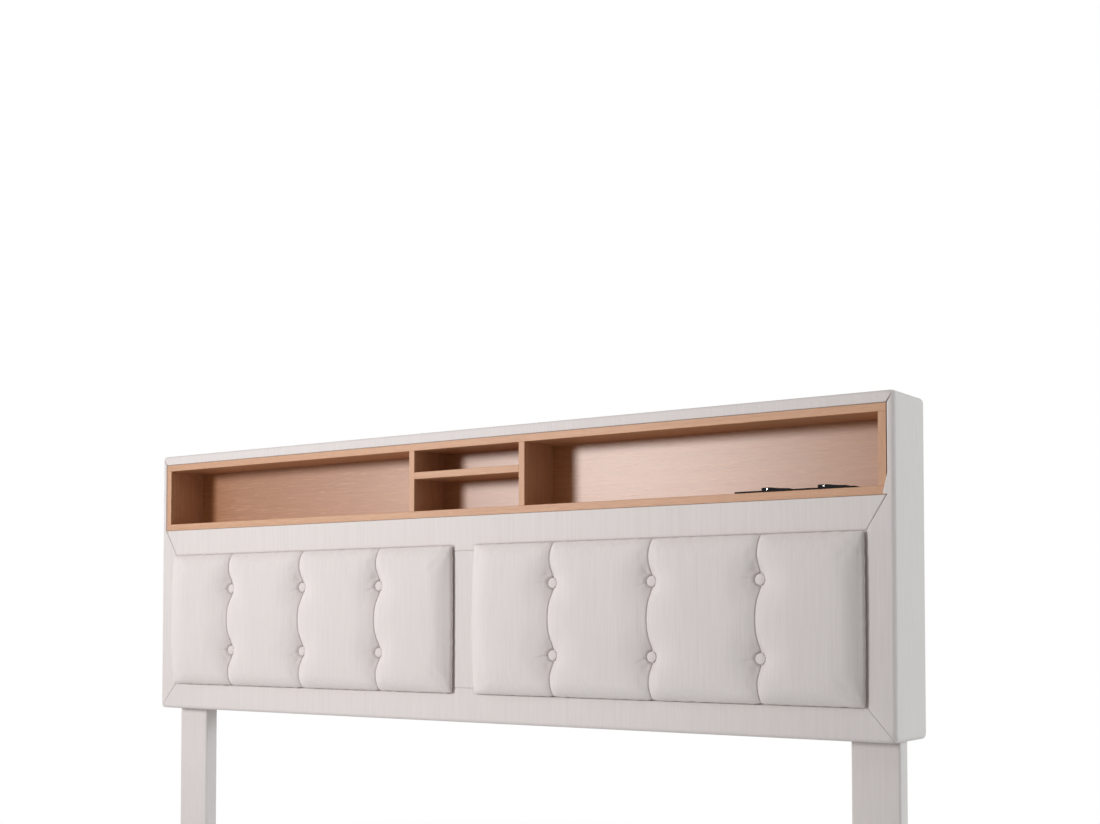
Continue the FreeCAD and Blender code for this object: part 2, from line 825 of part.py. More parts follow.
def tufted_pad():
    """The right cushion's pad: a loft over its sections, pressed in at each button."""
    shape = Part.makeLoft([pad_section(share) for share in pad_levels()], True, False)
    floor = number("pad_rear") - number("button_seat")
    inner = number("button_radius") + number("button_clear")
    depth = number("cushion_proud")
    wells = [
        Part.makeCone(inner, inner + number("well_spread"), depth, Vector(x, floor, z), Vector(0, -1, 0))
        for x, z in button_places()
    ]
    return shape.cut(wells)


def covered_buttons():
    """Six domed buttons of the right cushion, each flat behind."""
    radius = number("button_radius")
    height = number("button_height")
    floor = number("pad_rear") - number("button_seat")
    rim = height / 3
    dome_radius = (radius ** 2 + (height - rim) ** 2) / (2 * (height - rim))
    half_angle = math.asin(radius / dome_radius) / 2
    dome_drop = dome_radius * (1 - math.cos(half_angle))
    dome_side = Vector(dome_radius * math.sin(half_angle), dome_drop - height, 0)
    profile = Part.Wire([
        Part.LineSegment(Vector(0, 0, 0), Vector(radius, 0, 0)).toShape(),
        Part.LineSegment(Vector(radius, 0, 0), Vector(radius, -rim, 0)).toShape(),
        Part.Arc(Vector(radius, -rim, 0), dome_side, Vector(0, -height, 0)).toShape(),
        Part.LineSegment(Vector(0, -height, 0), Vector(0, 0, 0)).toShape(),
    ])
    button = Part.Face(profile).revolve(Vector(0, 0, 0), Vector(0, 1, 0), 360)
    return Part.makeCompound([button.translated(Vector(x, floor, z)) for x, z in button_places()])


def make_cushions():
    """The right pad and its buttons, and their mirror images on the left."""
    for name, shape in (("cushion_pad", tufted_pad()), ("tuft_buttons", covered_buttons())):
        for side in SIDES:
            part = doc.addObject("Part::Feature", f"{side}_{name}")
            part.Shape = shape if side == "right" else shape.mirror(Vector(0, 0, 0), Vector(1, 0, 0))
            part.Placement = FreeCAD.Placement()
            node(part, f"{side}_{name}")


# Legs


def rail_holes(side):
    """Two holes through the lower leg, front to back, for a bed rail's bolts."""
    heights = ("rail_hole_low", "rail_hole_low + rail_hole_spacing")
    return [
        rod(f"{side}_rail_hole_{index}", "y", (at(side, "leg_middle"), "leg_front", height),
            "rail_hole_radius", "leg_thick")
        for index, height in enumerate(heights)
    ]


def make_leg(side, bolt_holes):
    """A wooden core, bolted into the panel, a fabric sleeve over what shows of it, and a foot cap."""
    holes = group(f"{side}_rail_holes", rail_holes(side))
    core_x = across(side, "core_inner", "core_outer")
    core_y = ("core_front", "core_back")
    core = block(f"{side}_leg_blank", core_x, core_y, ("foot_height", "leg_top"))
    node(cut(f"{side}_leg", core, group(f"{side}_leg_holes", [bolt_holes, holes])), f"{side}_leg")

    corners = [
        (at(side, "leg_inner"), "leg_front"), (at(side, "leg_outer"), "leg_front"),
        (at(side, "leg_outer"), "leg_back"), (at(side, "leg_inner"), "leg_back"),
    ]
    upright_edges = [{"x": number(x), "y": number(y)} for x, y in corners]

    body = doc.addObject("PartDesign::Body", f"{side}_sleeve_body")
    sleeve_outline = outline(body, f"{side}_sleeve_outline", "XY_Plane", "foot_height", corners)
    pad(body, sleeve_outline, "sleeve_top - foot_height")
    dress(body, "Fillet", "Radius", "sleeve_round", upright_edges)
    inside = block(f"{side}_sleeve_inside", core_x, core_y, ("foot_height", "sleeve_top"))
    sleeve = cut(f"{side}_leg_sleeve", cut(f"{side}_sleeve_tube", body, inside), holes)
    node(sleeve, f"{side}_leg_sleeve")

    foot = doc.addObject("PartDesign::Body", f"{side}_foot")
    pad(foot, outline(foot, f"{side}_foot_outline", "XY_Plane", "0", corners), "foot_height")
    dress(foot, "Fillet", "Radius", "sleeve_round", upright_edges)
    node(foot, f"{side}_foot")


def make_leg_fasteners():
    """Hexagon bolts from behind, a washer under each head, and tee nuts in the front uprights."""
    bolts = []
    washers = []
    nuts = []
    for side in SIDES:
        for x, z in leg_bolt_places(side):
            tag = f"leg_bolt_{len(bolts)}"
            head = doc.addObject("Part::Prism", tag + "_head")
            head.Placement = FreeCAD.Placement(Vector(), TURNS["y"])
            bind(head, {
                "Circumradius": "bolt_head_radius", "Height": "bolt_head_height", "Placement.Base.x": x,
                "Placement.Base.y": "inner_back + washer_thick", "Placement.Base.z": z,
            })
            shank = rod(tag + "_shank", "y", (x, "rail_front + nut_flange_thick", z), "bolt_radius",
                        "inner_back + washer_thick - rail_front - nut_flange_thick")
            bolts.append(fuse(tag, [head, shank]))
            ring = rod(tag + "_ring", "y", (x, "inner_back", z), "washer_radius", "washer_thick")
            ring_hole = rod(tag + "_ring_hole", "y", (x, "inner_back", z), "bolt_radius + nut_clear",
                            "washer_thick")
            washers.append(cut(tag + "_washer", ring, ring_hole))
            flange = rod(tag + "_flange", "y", (x, "rail_front", z), "nut_flange_radius", "nut_flange_thick")
            barrel = rod(tag + "_barrel", "y", (x, "rail_front", z), "nut_barrel_radius",
                         "nut_flange_thick + nut_barrel_length")
            thread = rod(tag + "_thread", "y", (x, "rail_front", z), "bolt_radius + nut_clear",
                         "nut_flange_thick + nut_barrel_length")
            nuts.append(cut(tag + "_nut", fuse(tag + "_nut_body", [flange, barrel]), thread))
    node(group("leg_bolts", bolts), "leg_bolts")
    node(group("leg_washers", washers), "leg_washers")
    node(group("leg_tee_nuts", nuts), "leg_tee_nuts")


# Power strip


def housing_cutter(name):
    """The hole that the power strip's housing hangs in."""
    return block(name, ("housing_left - housing_clear", "housing_right + housing_clear"),
                 ("housing_front - housing_clear", "housing_rear + housing_clear"),
                 ("middle_rail_low", "case_floor"))


def plate_screws(spare="0", suffix=""):
    """A flush screw at each end of the plate."""
    head = ("plate_screw_head", "plate_thick / 2")
    shank = ("plate_screw_radius", "plate_screw_length")
    screws = []
    for column in ("plate_left + plate_screw_edge", "plate_right - plate_screw_edge"):
        name = f"plate_screw_{len(screws)}{suffix}"
        screws.append(fastener(name, "z", (column, "plate_middle", "plate_top"), -1, head, shank, spare))
    return group("plate_screws" + suffix, screws)


def make_plate():
    """The flat plate with a hinge block and an outlet hole for each lid."""
    body = doc.addObject("PartDesign::Body", "plate_body")
    corners = [
        ("plate_left", "plate_front"), ("plate_right", "plate_front"),
        ("plate_right", "plate_rear"), ("plate_left", "plate_rear"),
    ]
    pad(body, outline(body, "plate_outline", "XY_Plane", "case_floor", corners), "plate_thick")
    dress(body, "Fillet", "Radius", "plate_round", [{"x": number(x), "y": number(y)} for x, y in corners])
    for side in SIDES:
        lid = f"{side}_lid"
        hinge = outline(body, f"{side}_hinge_outline", "XY_Plane", "plate_top", [
            (f"{lid}_start", "lid_front"), (f"{lid}_hinge_end", "lid_front"),
            (f"{lid}_hinge_end", "slot_front"), (f"{lid}_stop", "slot_front"),
            (f"{lid}_stop", "slot_rear"), (f"{lid}_hinge_end", "slot_rear"),
            (f"{lid}_hinge_end", "lid_rear"), (f"{lid}_start", "lid_rear"),
        ])
        pad(body, hinge, "hinge_height")
    hinge_ends = [number(f"{side}_lid_{end}") for side in SIDES for end in ("start", "hinge_end")]
    dress(body, "Fillet", "Radius", "hinge_round", [{"x": x, "z": number("hinge_top")} for x in hinge_ends])
    pin_holes = circles(body, "pin_holes", "XZ_Plane", "-lid_front",
                        [("left_lid_pin", "pin_level"), ("right_lid_pin", "pin_level")],
                        "pin_radius", "pin_seat_clear")
    pocket(body, pin_holes, "lid_width")
    outlet_holes = [outlet_block(side, "_hole", "outlet_gap") for side in SIDES]
    screw_holes = plate_screws("plate_screw_clear", "_plate_holes")
    plate = cut("power_plate", body, group("plate_openings", outlet_holes + [screw_holes]))
    node(plate, "power_plate")


def outlet_block(side, suffix, spare):
    """The outlet's outer shape, or with spare room the hole for it."""
    middle = f"{side}_lid_outlet"
    top = "outlet_top" if spare == "0" else "plate_top"
    return block(f"{side}_outlet{suffix}",
                 (f"{middle} - outlet_length / 2 - {spare}", f"{middle} + outlet_length / 2 + {spare}"),
                 (f"plate_middle - outlet_width / 2 - {spare}", f"plate_middle + outlet_width / 2 + {spare}"),
                 ("outlet_top - outlet_depth", top))


def make_outlet(side):
    """An outlet with two blade slots and a round earth hole."""
    middle = f"{side}_lid_outlet"
    floor = "outlet_top - socket_depth"
    blade_y = [f"plate_middle {sign} blade_pitch / 2" for sign in ("-", "+")]
    slots = [
        block(f"{side}_blade_{index}", (f"{middle} - blade_height", middle),
              (f"{y} - blade_slot / 2", f"{y} + blade_slot / 2"), (floor, "outlet_top"))
        for index, y in enumerate(blade_y)
    ]
    earth = rod(f"{side}_earth", "z", (f"{middle} + blade_height", "plate_middle", floor), "earth_radius",
                "socket_depth")
    node(cut(f"{side}_outlet", outlet_block(side, "_block", "0"), group(f"{side}_sockets", slots + [earth])),
         f"{side}_outlet")


def make_lid(side):
    """A crowned flip-up leaf on a knuckle that turns on its own pin between the hinge block's walls."""
    lid = f"{side}_lid"
    body = doc.addObject("PartDesign::Body", f"{lid}_body")
    neck = outline(body, f"{lid}_neck_outline", "XZ_Plane", "-(slot_front + lid_gap)", [
        (f"{lid}_pin", "lid_low"), (f"{lid}_leaf", "lid_low"),
        (f"{lid}_leaf", "lid_back_top"), (f"{lid}_pin", "lid_back_top"),
    ])
    pad(body, neck, "slot_rear - slot_front - 2 * lid_gap", reverse=True)
    knuckle = circles(body, f"{lid}_knuckle", "XZ_Plane", "-(slot_front + lid_gap)",
                      [(f"{lid}_pin", "pin_level")], "knuckle_radius")
    pad(body, knuckle, "slot_rear - slot_front - 2 * lid_gap", reverse=True)
    leaf = outline(body, f"{lid}_leaf_outline", "XZ_Plane", "-lid_front", [
        (f"{lid}_leaf", "lid_low"), (f"{lid}_end", "lid_low"),
        (f"{lid}_end", "lid_tip_top"), (f"{lid}_leaf", "lid_back_top"),
    ], arcs={2: "lid_crown"})
    pad(body, leaf, "lid_width", reverse=True)
    bore = circles(body, f"{lid}_bore", "XZ_Plane", "-lid_front", [(f"{lid}_pin", "pin_level")],
                   "pin_radius", "pin_clear")
    pocket(body, bore, "lid_width")
    node(body, lid)


def make_power_strip():
    make_plate()
    node(plate_screws(), "plate_screws")
    shell = block("housing_shell", ("housing_left", "housing_right"), ("housing_front", "housing_rear"),
                  ("housing_low", "case_floor"))
    hollow = block("housing_hollow", ("housing_left + housing_wall", "housing_right - housing_wall"),
                   ("housing_front + housing_wall", "housing_rear - housing_wall"),
                   ("housing_low + housing_wall", "case_floor"))
    node(cut("power_housing", shell, hollow), "power_housing")
    for side in SIDES:
        make_outlet(side)
        make_lid(side)
        pin_start = (f"{side}_lid_pin", "lid_front", "pin_level")
        node(rod(f"{side}_hinge_pin", "y", pin_start, "pin_radius", "lid_width"), f"{side}_hinge_pin")


# Checks and files


def check_model():
    """Stop if any object failed, or any sub-part has no sound solid."""
    for item in doc.Objects:
        if "Invalid" in item.State or "Error" in item.State:
            raise RuntimeError(f"{item.Name} failed: {item.State}")
    for part in NODES:
        if part.Shape.isNull() or not part.Shape.isValid() or not part.Shape.Solids:
            raise RuntimeError(f"{part.Label} has no valid solid")


def main():
    fill_sheets()
    bolt_holes = leg_bolt_holes()
    fixing_holes = cushion_fixings("screw_clear", "_holes")
    make_end_panels()
    make_rails()
    make_ribs()
    make_uprights(bolt_holes)
    make_boards(fixing_holes, bolt_access_holes())
    make_top_cover()
    make_side_covers()
    make_middle_cover()
    make_bottom_cover()
    make_centre_cover()
    make_bookcase()
    make_cushion_boards(fixing_holes)
    node(cushion_fixings(), "cushion_fixings")
    make_cushions()
    for side in SIDES:
        make_leg(side, bolt_holes)
    make_leg_fasteners()
    make_power_strip()
    doc.recompute()
    check_model()
    os.makedirs("parts", exist_ok=True)
    for part in NODES:
        part.Shape.exportStep(f"parts/{part.Label}.step")
    print(f"{len(NODES)} sub-parts written")


main()
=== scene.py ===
import json
import math

import bmesh
import bpy
import numpy as np
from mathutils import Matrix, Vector


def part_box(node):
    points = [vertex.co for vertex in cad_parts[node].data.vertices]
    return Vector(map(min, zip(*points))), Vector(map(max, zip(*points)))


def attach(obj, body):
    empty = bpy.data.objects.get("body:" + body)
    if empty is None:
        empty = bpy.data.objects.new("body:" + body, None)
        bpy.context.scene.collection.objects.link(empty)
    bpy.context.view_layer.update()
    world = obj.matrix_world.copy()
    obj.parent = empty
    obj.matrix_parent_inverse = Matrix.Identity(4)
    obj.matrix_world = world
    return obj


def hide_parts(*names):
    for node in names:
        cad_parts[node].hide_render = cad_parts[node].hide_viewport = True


# Upholstered bookcase headboard: linen covers, tufted cushions, oak-look bookcase and power strip.
# Metres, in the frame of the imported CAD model. The front looks towards -Y.

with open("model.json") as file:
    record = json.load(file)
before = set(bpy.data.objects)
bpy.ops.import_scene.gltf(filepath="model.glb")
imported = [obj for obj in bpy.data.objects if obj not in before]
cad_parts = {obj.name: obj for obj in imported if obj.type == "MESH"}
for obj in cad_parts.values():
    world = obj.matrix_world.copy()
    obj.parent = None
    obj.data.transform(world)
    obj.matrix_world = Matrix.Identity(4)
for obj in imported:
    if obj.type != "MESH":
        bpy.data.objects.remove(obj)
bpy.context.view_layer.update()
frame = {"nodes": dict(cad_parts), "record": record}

SIDES = ("left", "right")
MILLIMETRES = 1000  # in a metre
X, Y, Z = range(3)

# Camera of the photo
CAMERA_PLACE = (2.061, -2.679, 0.689)
CAMERA_TURN = 34.93  # degrees to the left of straight on
CAMERA_PITCH = 2.0  # degrees upwards
CAMERA_LENS = 48.475  # millimetres
CAMERA_SENSOR = 36  # millimetres wide
CAMERA_SHIFT = 0.1422  # of the picture's width

# Sewn border
EDGE_ROUND = 0.009
BACK_ROUND = 0.003
LEAST_ROUND = 0.0003
SEAM_ROLL = 0.0024
SEAM_STEPS = np.array([0.0, 0.1, 0.25, 0.45, 0.7, 1.0, 1.6]) * SEAM_ROLL  # from a sewn edge
BACK_LIP = 0.025
WOOD_GAP = 0.0007  # shadow gap between the bookcase and the fabric above and below it
END_GAP = 0.0016  # the same at the bookcase's ends
CORNER_LAP = 0.009  # how far the right cover laps over the bookcase's lower corner
LAP_TURN = 0.002  # the height over which the lap begins
LAP_RISE = 0.04  # and the height at which it has ended
PRESS_DEPTH = 0.0038  # how far the cushions press into the border
PRESS_WIDTH = 0.0015
CUSHION_TUCK = 0.012  # how far the border runs on under the cushions
COVER_STEP = 0.006
CORNER_POINTS = 9  # of a rounded edge
LIP_COLUMNS = 5
EDGE_COLUMNS = 24
STRIP_COLUMNS = 110
FINE_STEP = 0.0007
SAME_POINT = 1e-6

# Tufted cushions
RIM_HEIGHT = 0.0046
RIM_HOLD = 0.25  # share of a seam's fold that is left at the rim
RIM_SLOPE = 45  # degrees that the face has already turned at the rim
RIM_ROUND = 0.003
RIM_DROP = 0.45  # share of the rim's height that its rounding takes
RIM_UNDERCUT = 0.002
UNDERCUT_TURN = 80  # degrees
RIM_STEPS = 5
RIM_PUCKER = 0.00016
PUCKER_COUNT = 6
PUCKER_RATES = (90, 320)  # radians for each metre
RIM_NOTCH = 0.0026
NOTCH_WIDTH = 0.006
EDGE_POWER = 6  # how closely swells and notches keep to the edge
CORNER_TURNS = (22.5, 45, 67.5)
LEFT_SHOULDER = 0.055
RIGHT_SHOULDER = 0.036
END_SHOULDER = 0.03
SHOULDER_FALL = 2.0
SHOULDER_STEEP = 0.54
SIDE_TUCK = 0.0015  # how far both sides are drawn in at the corners
LEFT_SWELL = {"left": 0.011, "right": 0.005}  # how far each cushion's left side swells half-way up
CROWN_RISE = 0.001  # of the pad's crown over the CAD pad's
SEAM_LEAN = 0.0075  # how far a seam leans to the left between the places that hold it
LEAN_REACH = 0.045
FOLD_DEPTH = 0.0072
FOLD_WIDTH = 0.0095
WELL_DEPTH = 0.0155
WELL_WIDTH = 0.021
WELL_LENGTH = 0.036
WELL_POWER = 1.6
DIMPLE_DEPTH = 0.0045
DIMPLE_RADIUS = 0.0128
DIMPLE_POWER = 6
SLOT_DEPTH = 0.0042
SLOT_WIDTH = 0.0007
SLOT_STEPS = (0.00025, 0.0005, 0.00075, 0.0011, 0.0016, 0.0024)
PLEAT_DEPTH = 0.0045
PLEAT_WIDTH = 0.0018
PLEAT_LENGTH = 0.038
PLEAT_BEND = 6.0
PLEAT_KINDS = ((180, 1.0), (180, 0.4), (0, 0.5))  # way in degrees and strength, at each button
PLEAT_SPREAD = 20  # degrees
PLEAT_SHARES = (0.7, 1.0)
WAVE_COUNT = 6
WAVE_RATES = (8, 26)  # radians for each metre
WAVE_SIZES = (0.0001, 0.0003)
PAD_STEP = 0.0028
EDGE_STEPS = (0.0006, 0.0014, 0.0024, 0.0036, 0.005, 0.0068, 0.009)
COLUMN_STEPS = (*SLOT_STEPS, *np.arange(0.0034, 0.02, 0.0012))  # on both sides of a seam
ROW_STEPS = np.arange(0, 0.022, 0.0009)  # above and below a row of buttons
SMALLEST_STEP = 0.0002
SMALLEST_HEIGHT = 0.0015
SEAM_PITCH = 0.247
ROW_PITCH = 0.155
SEAM_COLUMNS = np.array([-1, 0, 1]) * SEAM_PITCH
BUTTON_ROWS = np.array([-0.5, 0.5]) * ROW_PITCH
BUTTON_PLACES = [(column, row) for column in SEAM_COLUMNS for row in BUTTON_ROWS]
BUTTON_RADIUS = 0.011
BUTTON_DOME = 0.003
BUTTON_SUNK = 0.0022  # behind the front of the CAD button
BUTTON_RINGS = np.radians(np.linspace(4, 140, 15))  # turns from the dome's middle to the neck
BUTTON_SIDES = 48
BUTTON_PUCKER = 0.012
BUTTON_PLEATS = 14
PUCKER_POWER = 6
BUTTON_HOLD = 0.014  # radius round a button in which the cloth is held
FIRST_SEED = 3

# Simulated filling of the cushions
CLOTH_STEP = 0.005
CLOTH_FRAMES = 20
CLOTH_PRESSURE = 4.0
CLOTH_QUALITY = 6
CLOTH_STIFFNESS = 20
CLOTH_BENDING = 0.4
LARGEST_BULGE = 0.004
LEAST_BULGE = 1e-9
SMOOTH_PASSES = 6

# Stretched cloth
HOLE_LIP = 0.002
HOLE_RINGS = ((0.6, 0.0), (0.93, 0.0), (1.0, HOLE_LIP / 4), (1.0, HOLE_LIP))  # share of the way in, depth
PATCH_LINES = (-1, -0.5, 0, 0.5, 1)  # places of a hole's lines, in patches
PATCH_SLACK = 1.01
PLACE_DIGITS = 6  # lines closer than a micrometre count as one
LEG_ROUND = 0.005
LEG_CORNER_POINTS = 9
LEG_HEM = 0.003
HEM_STOPS = np.array([0, 0.1, 0.3, 0.6, 1.0]) * LEG_HEM
LEG_STEP = 0.02
LEG_PATCH = 0.012
BACK_EDGE = 0.012  # from the panel's edge to the back cloth's
BACK_STEP = 0.03
BACK_PATCH = 0.03
BOLT_LEVELS = (0.524, 0.624)
BOLT_ACCESS = 0.014
CLOTH_THICK = 0.0008
CLOTH_SAG = 0.2 * CLOTH_THICK
SAG_RATES = (9, 14)  # radians for each metre, across and up
STAPLE_INSET = 0.009  # from the back cloth's edge
STAPLE_PITCH = 0.075
STAPLE_LENGTH = 0.010
STAPLE_LEG = 0.002
STAPLE_WIRE = 0.0005  # radius
STAPLE_SIDES = 6

# Lights, world and floor
KEY_PLACE = (-4.0, -7.0, 2.0)
KEY_TARGET = (-0.39, 0, 1.32)
KEY_POWER = 1840
KEY_SOFTNESS = 0.9  # radius
KEY_CONE = 33  # degrees
WHITE = (1, 1, 1)
COOL_WHITE = (0.88, 0.985, 1.0)
AREA_LIGHTS = (  # name, place, target, size, power and colour
    ("overhead", (0.1, -1.6, 2.4), (0, 0, 0.9), 1.2, 4, WHITE),
    ("side_light", (-6.5, -1.35, 1.1), (0, 0, 0.8), 1.5, 52, WHITE),
    ("end_fill", (6.8, 3.0, 2.0), (1.0, 0, 0.9), 3.2, 262, COOL_WHITE),
    ("rear_fill", (-2.6, 4.2, 2.4), (0, 0, 0.8), 2.2, 110, WHITE),
)
AMBIENT_COLOUR = (1.0, 0.985, 0.97)
AMBIENT_STRENGTH = 0.32
FLOOR_RADIUS = 1.9
FLOOR_SIDES = 96
FLOOR_COLOUR = (0.9, 0.9, 0.9)
FLOOR_ROUGHNESS = 0.9
FLOOR_CLEAR = 0.4  # share of the background that shows through the floor's middle
FADE_START = 1.1
FADE_END = 1.85


# Places of the CAD model


def low(node, axis):
    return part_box(node)[0][axis]


def high(node, axis):
    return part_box(node)[1][axis]


HALF_WIDTH = high("right_side_cover", X)
PANEL_FRONT = low("middle_cover", Y)
PANEL_BACK = high("back_cloth", Y)
PANEL_LOW = low("bottom_cover", Z)
PANEL_HIGH = high("top_cover", Z)
CASE_HALF = high("case_top", X)
CASE_LOW = low("case_bottom", Z)
CASE_HIGH = high("case_top", Z)
PAD_LOW = low("right_cushion_pad", Z)
PAD_HIGH = high("right_cushion_pad", Z)
PAD_INNER = low("right_cushion_pad", X)
PAD_OUTER = high("right_cushion_pad", X)
PAD_FRONT = low("right_cushion_pad", Y)
PAD_REAR = high("right_cushion_pad", Y)
PAD_MIDDLE_X = {"left": -(PAD_INNER + PAD_OUTER) / 2, "right": (PAD_INNER + PAD_OUTER) / 2}
PAD_MIDDLE_Z = (PAD_LOW + PAD_HIGH) / 2
BUTTON_FRONT = low("right_tuft_buttons", Y)


# Materials

BUMP_STRENGTH = 0.6
# Pale flecks painted into the oak's colour as glints off its pores, and also raised a little in its
# relief
GLINT_FLECK_PEAKS = (0.58, 0.72)  # noise at which a fleck begins, and at which it is full
OAK_STOPS = (0.32, 0.5, 0.68)
PLASTIC_BLUE = 1.05  # blue as a share of red and green
METAL_BLUE = 0.98


def stretched_noise(tree, scale, detail=3.0):
    """Noise over a piece's own coordinates, with its own scale along each axis."""
    coordinates = tree.nodes.new("ShaderNodeTexCoord")
    mapping = tree.nodes.new("ShaderNodeMapping")
    mapping.inputs["Scale"].default_value = scale
    noise = tree.nodes.new("ShaderNodeTexNoise")
    noise.inputs["Scale"].default_value = 1.0
    noise.inputs["Detail"].default_value = detail
    tree.links.new(coordinates.outputs["Object"], mapping.inputs["Vector"])
    tree.links.new(mapping.outputs["Vector"], noise.inputs["Vector"])
    return noise.outputs["Fac"]


def sparse_noise(tree, scale):
    """Stretched noise of which only the peaks are left."""
    peaks = tree.nodes.new("ShaderNodeMapRange")
    peaks.inputs["From Min"].default_value = GLINT_FLECK_PEAKS[0]
    peaks.inputs["From Max"].default_value = GLINT_FLECK_PEAKS[1]
    tree.links.new(stretched_noise(tree, scale), peaks.inputs["Value"])
    return peaks.outputs["Result"]


def weighted_sum(tree, parts):
    """Sum of sources, each times its weight."""
    total = None
    for source, weight in parts:
        step = tree.nodes.new("ShaderNodeMath")
        step.operation = "MULTIPLY_ADD"
        step.inputs[1].default_value = weight
        step.inputs[2].default_value = 0.0
        tree.links.new(source, step.inputs[0])
        if total is not None:
            tree.links.new(total, step.inputs[2])
        total = step.outputs[0]
    return total


def ramp(tree, source, stops):
    """Colours over a source: stops are pairs of place and colour."""
    node = tree.nodes.new("ShaderNodeValToRGB")
    elements = node.color_ramp.elements
    while len(elements) < len(stops):
        elements.new(0.5)
    for element, (place, colour) in zip(elements, stops):
        element.position = place
        element.color = (*colour, 1.0)
    tree.links.new(source, node.inputs["Fac"])
    return node.outputs["Color"]


def finish(name, heights, stops, roughness, bump, metallic=0.0, sheen=0.0, specular=0.5, glint_flecks=()):
    """A material whose colour and relief both come from weighted noises and any painted glint flecks."""
    made = bpy.data.materials.new(name)
    made.use_nodes = True
    tree = made.node_tree
    shader = tree.nodes["Principled BSDF"]
    shader.inputs["Roughness"].default_value = roughness
    shader.inputs["Metallic"].default_value = metallic
    shader.inputs["Sheen Weight"].default_value = sheen
    shader.inputs["Specular IOR Level"].default_value = specular
    parts = [(stretched_noise(tree, scale), weight) for scale, weight in heights]
    parts += [(sparse_noise(tree, scale), weight) for scale, weight in glint_flecks]
    height = weighted_sum(tree, parts)
    tree.links.new(ramp(tree, height, stops), shader.inputs["Base Color"])
    relief = tree.nodes.new("ShaderNodeBump")
    relief.inputs["Distance"].default_value = bump
    relief.inputs["Strength"].default_value = BUMP_STRENGTH
    tree.links.new(height, relief.inputs["Height"])
    tree.links.new(relief.outputs["Normal"], shader.inputs["Normal"])
    return made


def linen():
    """Pale greige weave: upright and level threads, broad slubs in the upright ones, and fine nap."""
    threads = [
        ((260, 260, 9), 0.38),
        ((16, 16, 600), 0.05),
        ((140, 140, 4), 0.12),
        ((2000, 2000, 2000), 0.45),
    ]
    stops = [
        (0.34, (0.69, 0.64, 0.628)),
        (0.5, (0.735, 0.684, 0.67)),
        (0.66, (0.775, 0.723, 0.709)),
    ]
    return finish("linen", threads, stops, roughness=0.9, bump=0.0005, sheen=0.12, specular=0.2)


def oak(name, along, tones, roughness, specular, glint_fleck=0.0):
    """Oak-look laminate with its grain along one axis: bands, streaks, dashes, pores and any painted pore
    glints.
    """
    def grain(across, lengthwise, weight):
        scale = [across] * 3
        scale[along] = lengthwise
        return scale, weight

    grains = [grain(17, 0.9, 0.18), grain(150, 3.0, 0.22), grain(420, 24.0, 0.3), grain(1300, 70.0, 0.3)]
    # Painted highlight: pale flecks lighten the colour as glints off the pores would, and also raise the
    # bump
    glint_flecks = [grain(230, 17.0, glint_fleck)] if glint_fleck else []
    return finish(name, grains, list(zip(OAK_STOPS, tones)), roughness, bump=0.0003,
                  specular=specular, glint_flecks=glint_flecks)


def moulded(name, grain, dark, pale, roughness):
    """Black moulded plastic with a fine grain."""
    stops = [(0.3, (dark, dark, dark * PLASTIC_BLUE)), (0.7, (pale, pale, pale * PLASTIC_BLUE))]
    return finish(name, [((grain, grain, grain), 1.0)], stops, roughness, bump=0.00005, specular=0.12)


def metal(name, scale, dark, pale, roughness):
    stops = [(0.3, (dark, dark, dark * METAL_BLUE)), (0.7, (pale, pale, pale * METAL_BLUE))]
    return finish(name, [(scale, 1.0)], stops, roughness, bump=0.00003, metallic=1.0)


BOARD_TONES = ((0.405, 0.19, 0.096), (0.512, 0.267, 0.143), (0.61, 0.347, 0.206))
PANEL_TONES = ((0.308, 0.119, 0.042), (0.365, 0.15, 0.056), (0.424, 0.192, 0.079))
FINISHES = {
    "linen": linen(),
    "back_cloth": finish("back_cloth", [((900, 900, 900), 0.6), ((60, 60, 60), 0.4)],
                         [(0.3, (0.02, 0.02, 0.021)), (0.7, (0.055, 0.055, 0.058))],
                         roughness=0.95, bump=0.0004),
    "frame_wood": finish("frame_wood", [((3, 60, 60), 0.6), ((12, 300, 300), 0.4)],
                         [(0.3, (0.45, 0.31, 0.18)), (0.7, (0.68, 0.52, 0.34))],
                         roughness=0.7, bump=0.0004),
    "case_wood": oak("case_wood", X, BOARD_TONES, roughness=0.5, specular=0.5),
    "strip_black": moulded("strip_black", 1500, 0.005, 0.011, 0.7),
    "outlet_black": moulded("outlet_black", 1800, 0.007, 0.015, 0.7),
    "lid_black": moulded("lid_black", 1200, 0.004, 0.009, 0.65),
    "pin_metal": metal("pin_metal", (2500, 200, 2500), 0.74, 0.9, 0.25),
    "bolt_steel": metal("bolt_steel", (900, 900, 900), 0.5, 0.68, 0.38),
    "foot_plastic": moulded("foot_plastic", 1500, 0.016, 0.03, 0.55),
}
UPRIGHT_OAK = oak("case_wood_upright", Z, BOARD_TONES, roughness=0.5, specular=0.5)
# The back panel carries pale flecks painted into its colour as glints off its pores
PANEL_OAK = oak("case_wood_panel", X, PANEL_TONES, roughness=0.35, specular=0.58, glint_fleck=0.3)
BOARD_FINISHES = {
    "case_left_side": UPRIGHT_OAK,
    "case_right_side": UPRIGHT_OAK,
    "left_partition": UPRIGHT_OAK,
    "right_partition": UPRIGHT_OAK,
    "case_back": PANEL_OAK,
}


def dress_cad_nodes():
    for part in frame["record"]["subparts"]:
        name = part["node"]
        materials = frame["nodes"][name].data.materials
        materials.clear()
        materials.append(BOARD_FINISHES.get(name, FINISHES[part["material_slot"]]))


# Meshes


def grid_faces(rows, columns, flip=False):
    """Quads of a grid of points listed row by row."""
    faces = []
    for row in range(rows - 1):
        for column in range(columns - 1):
            corner = row * columns + column
            quad = (corner, corner + 1, corner + columns + 1, corner + columns)
            faces.append(quad[::-1] if flip else quad)
    return faces


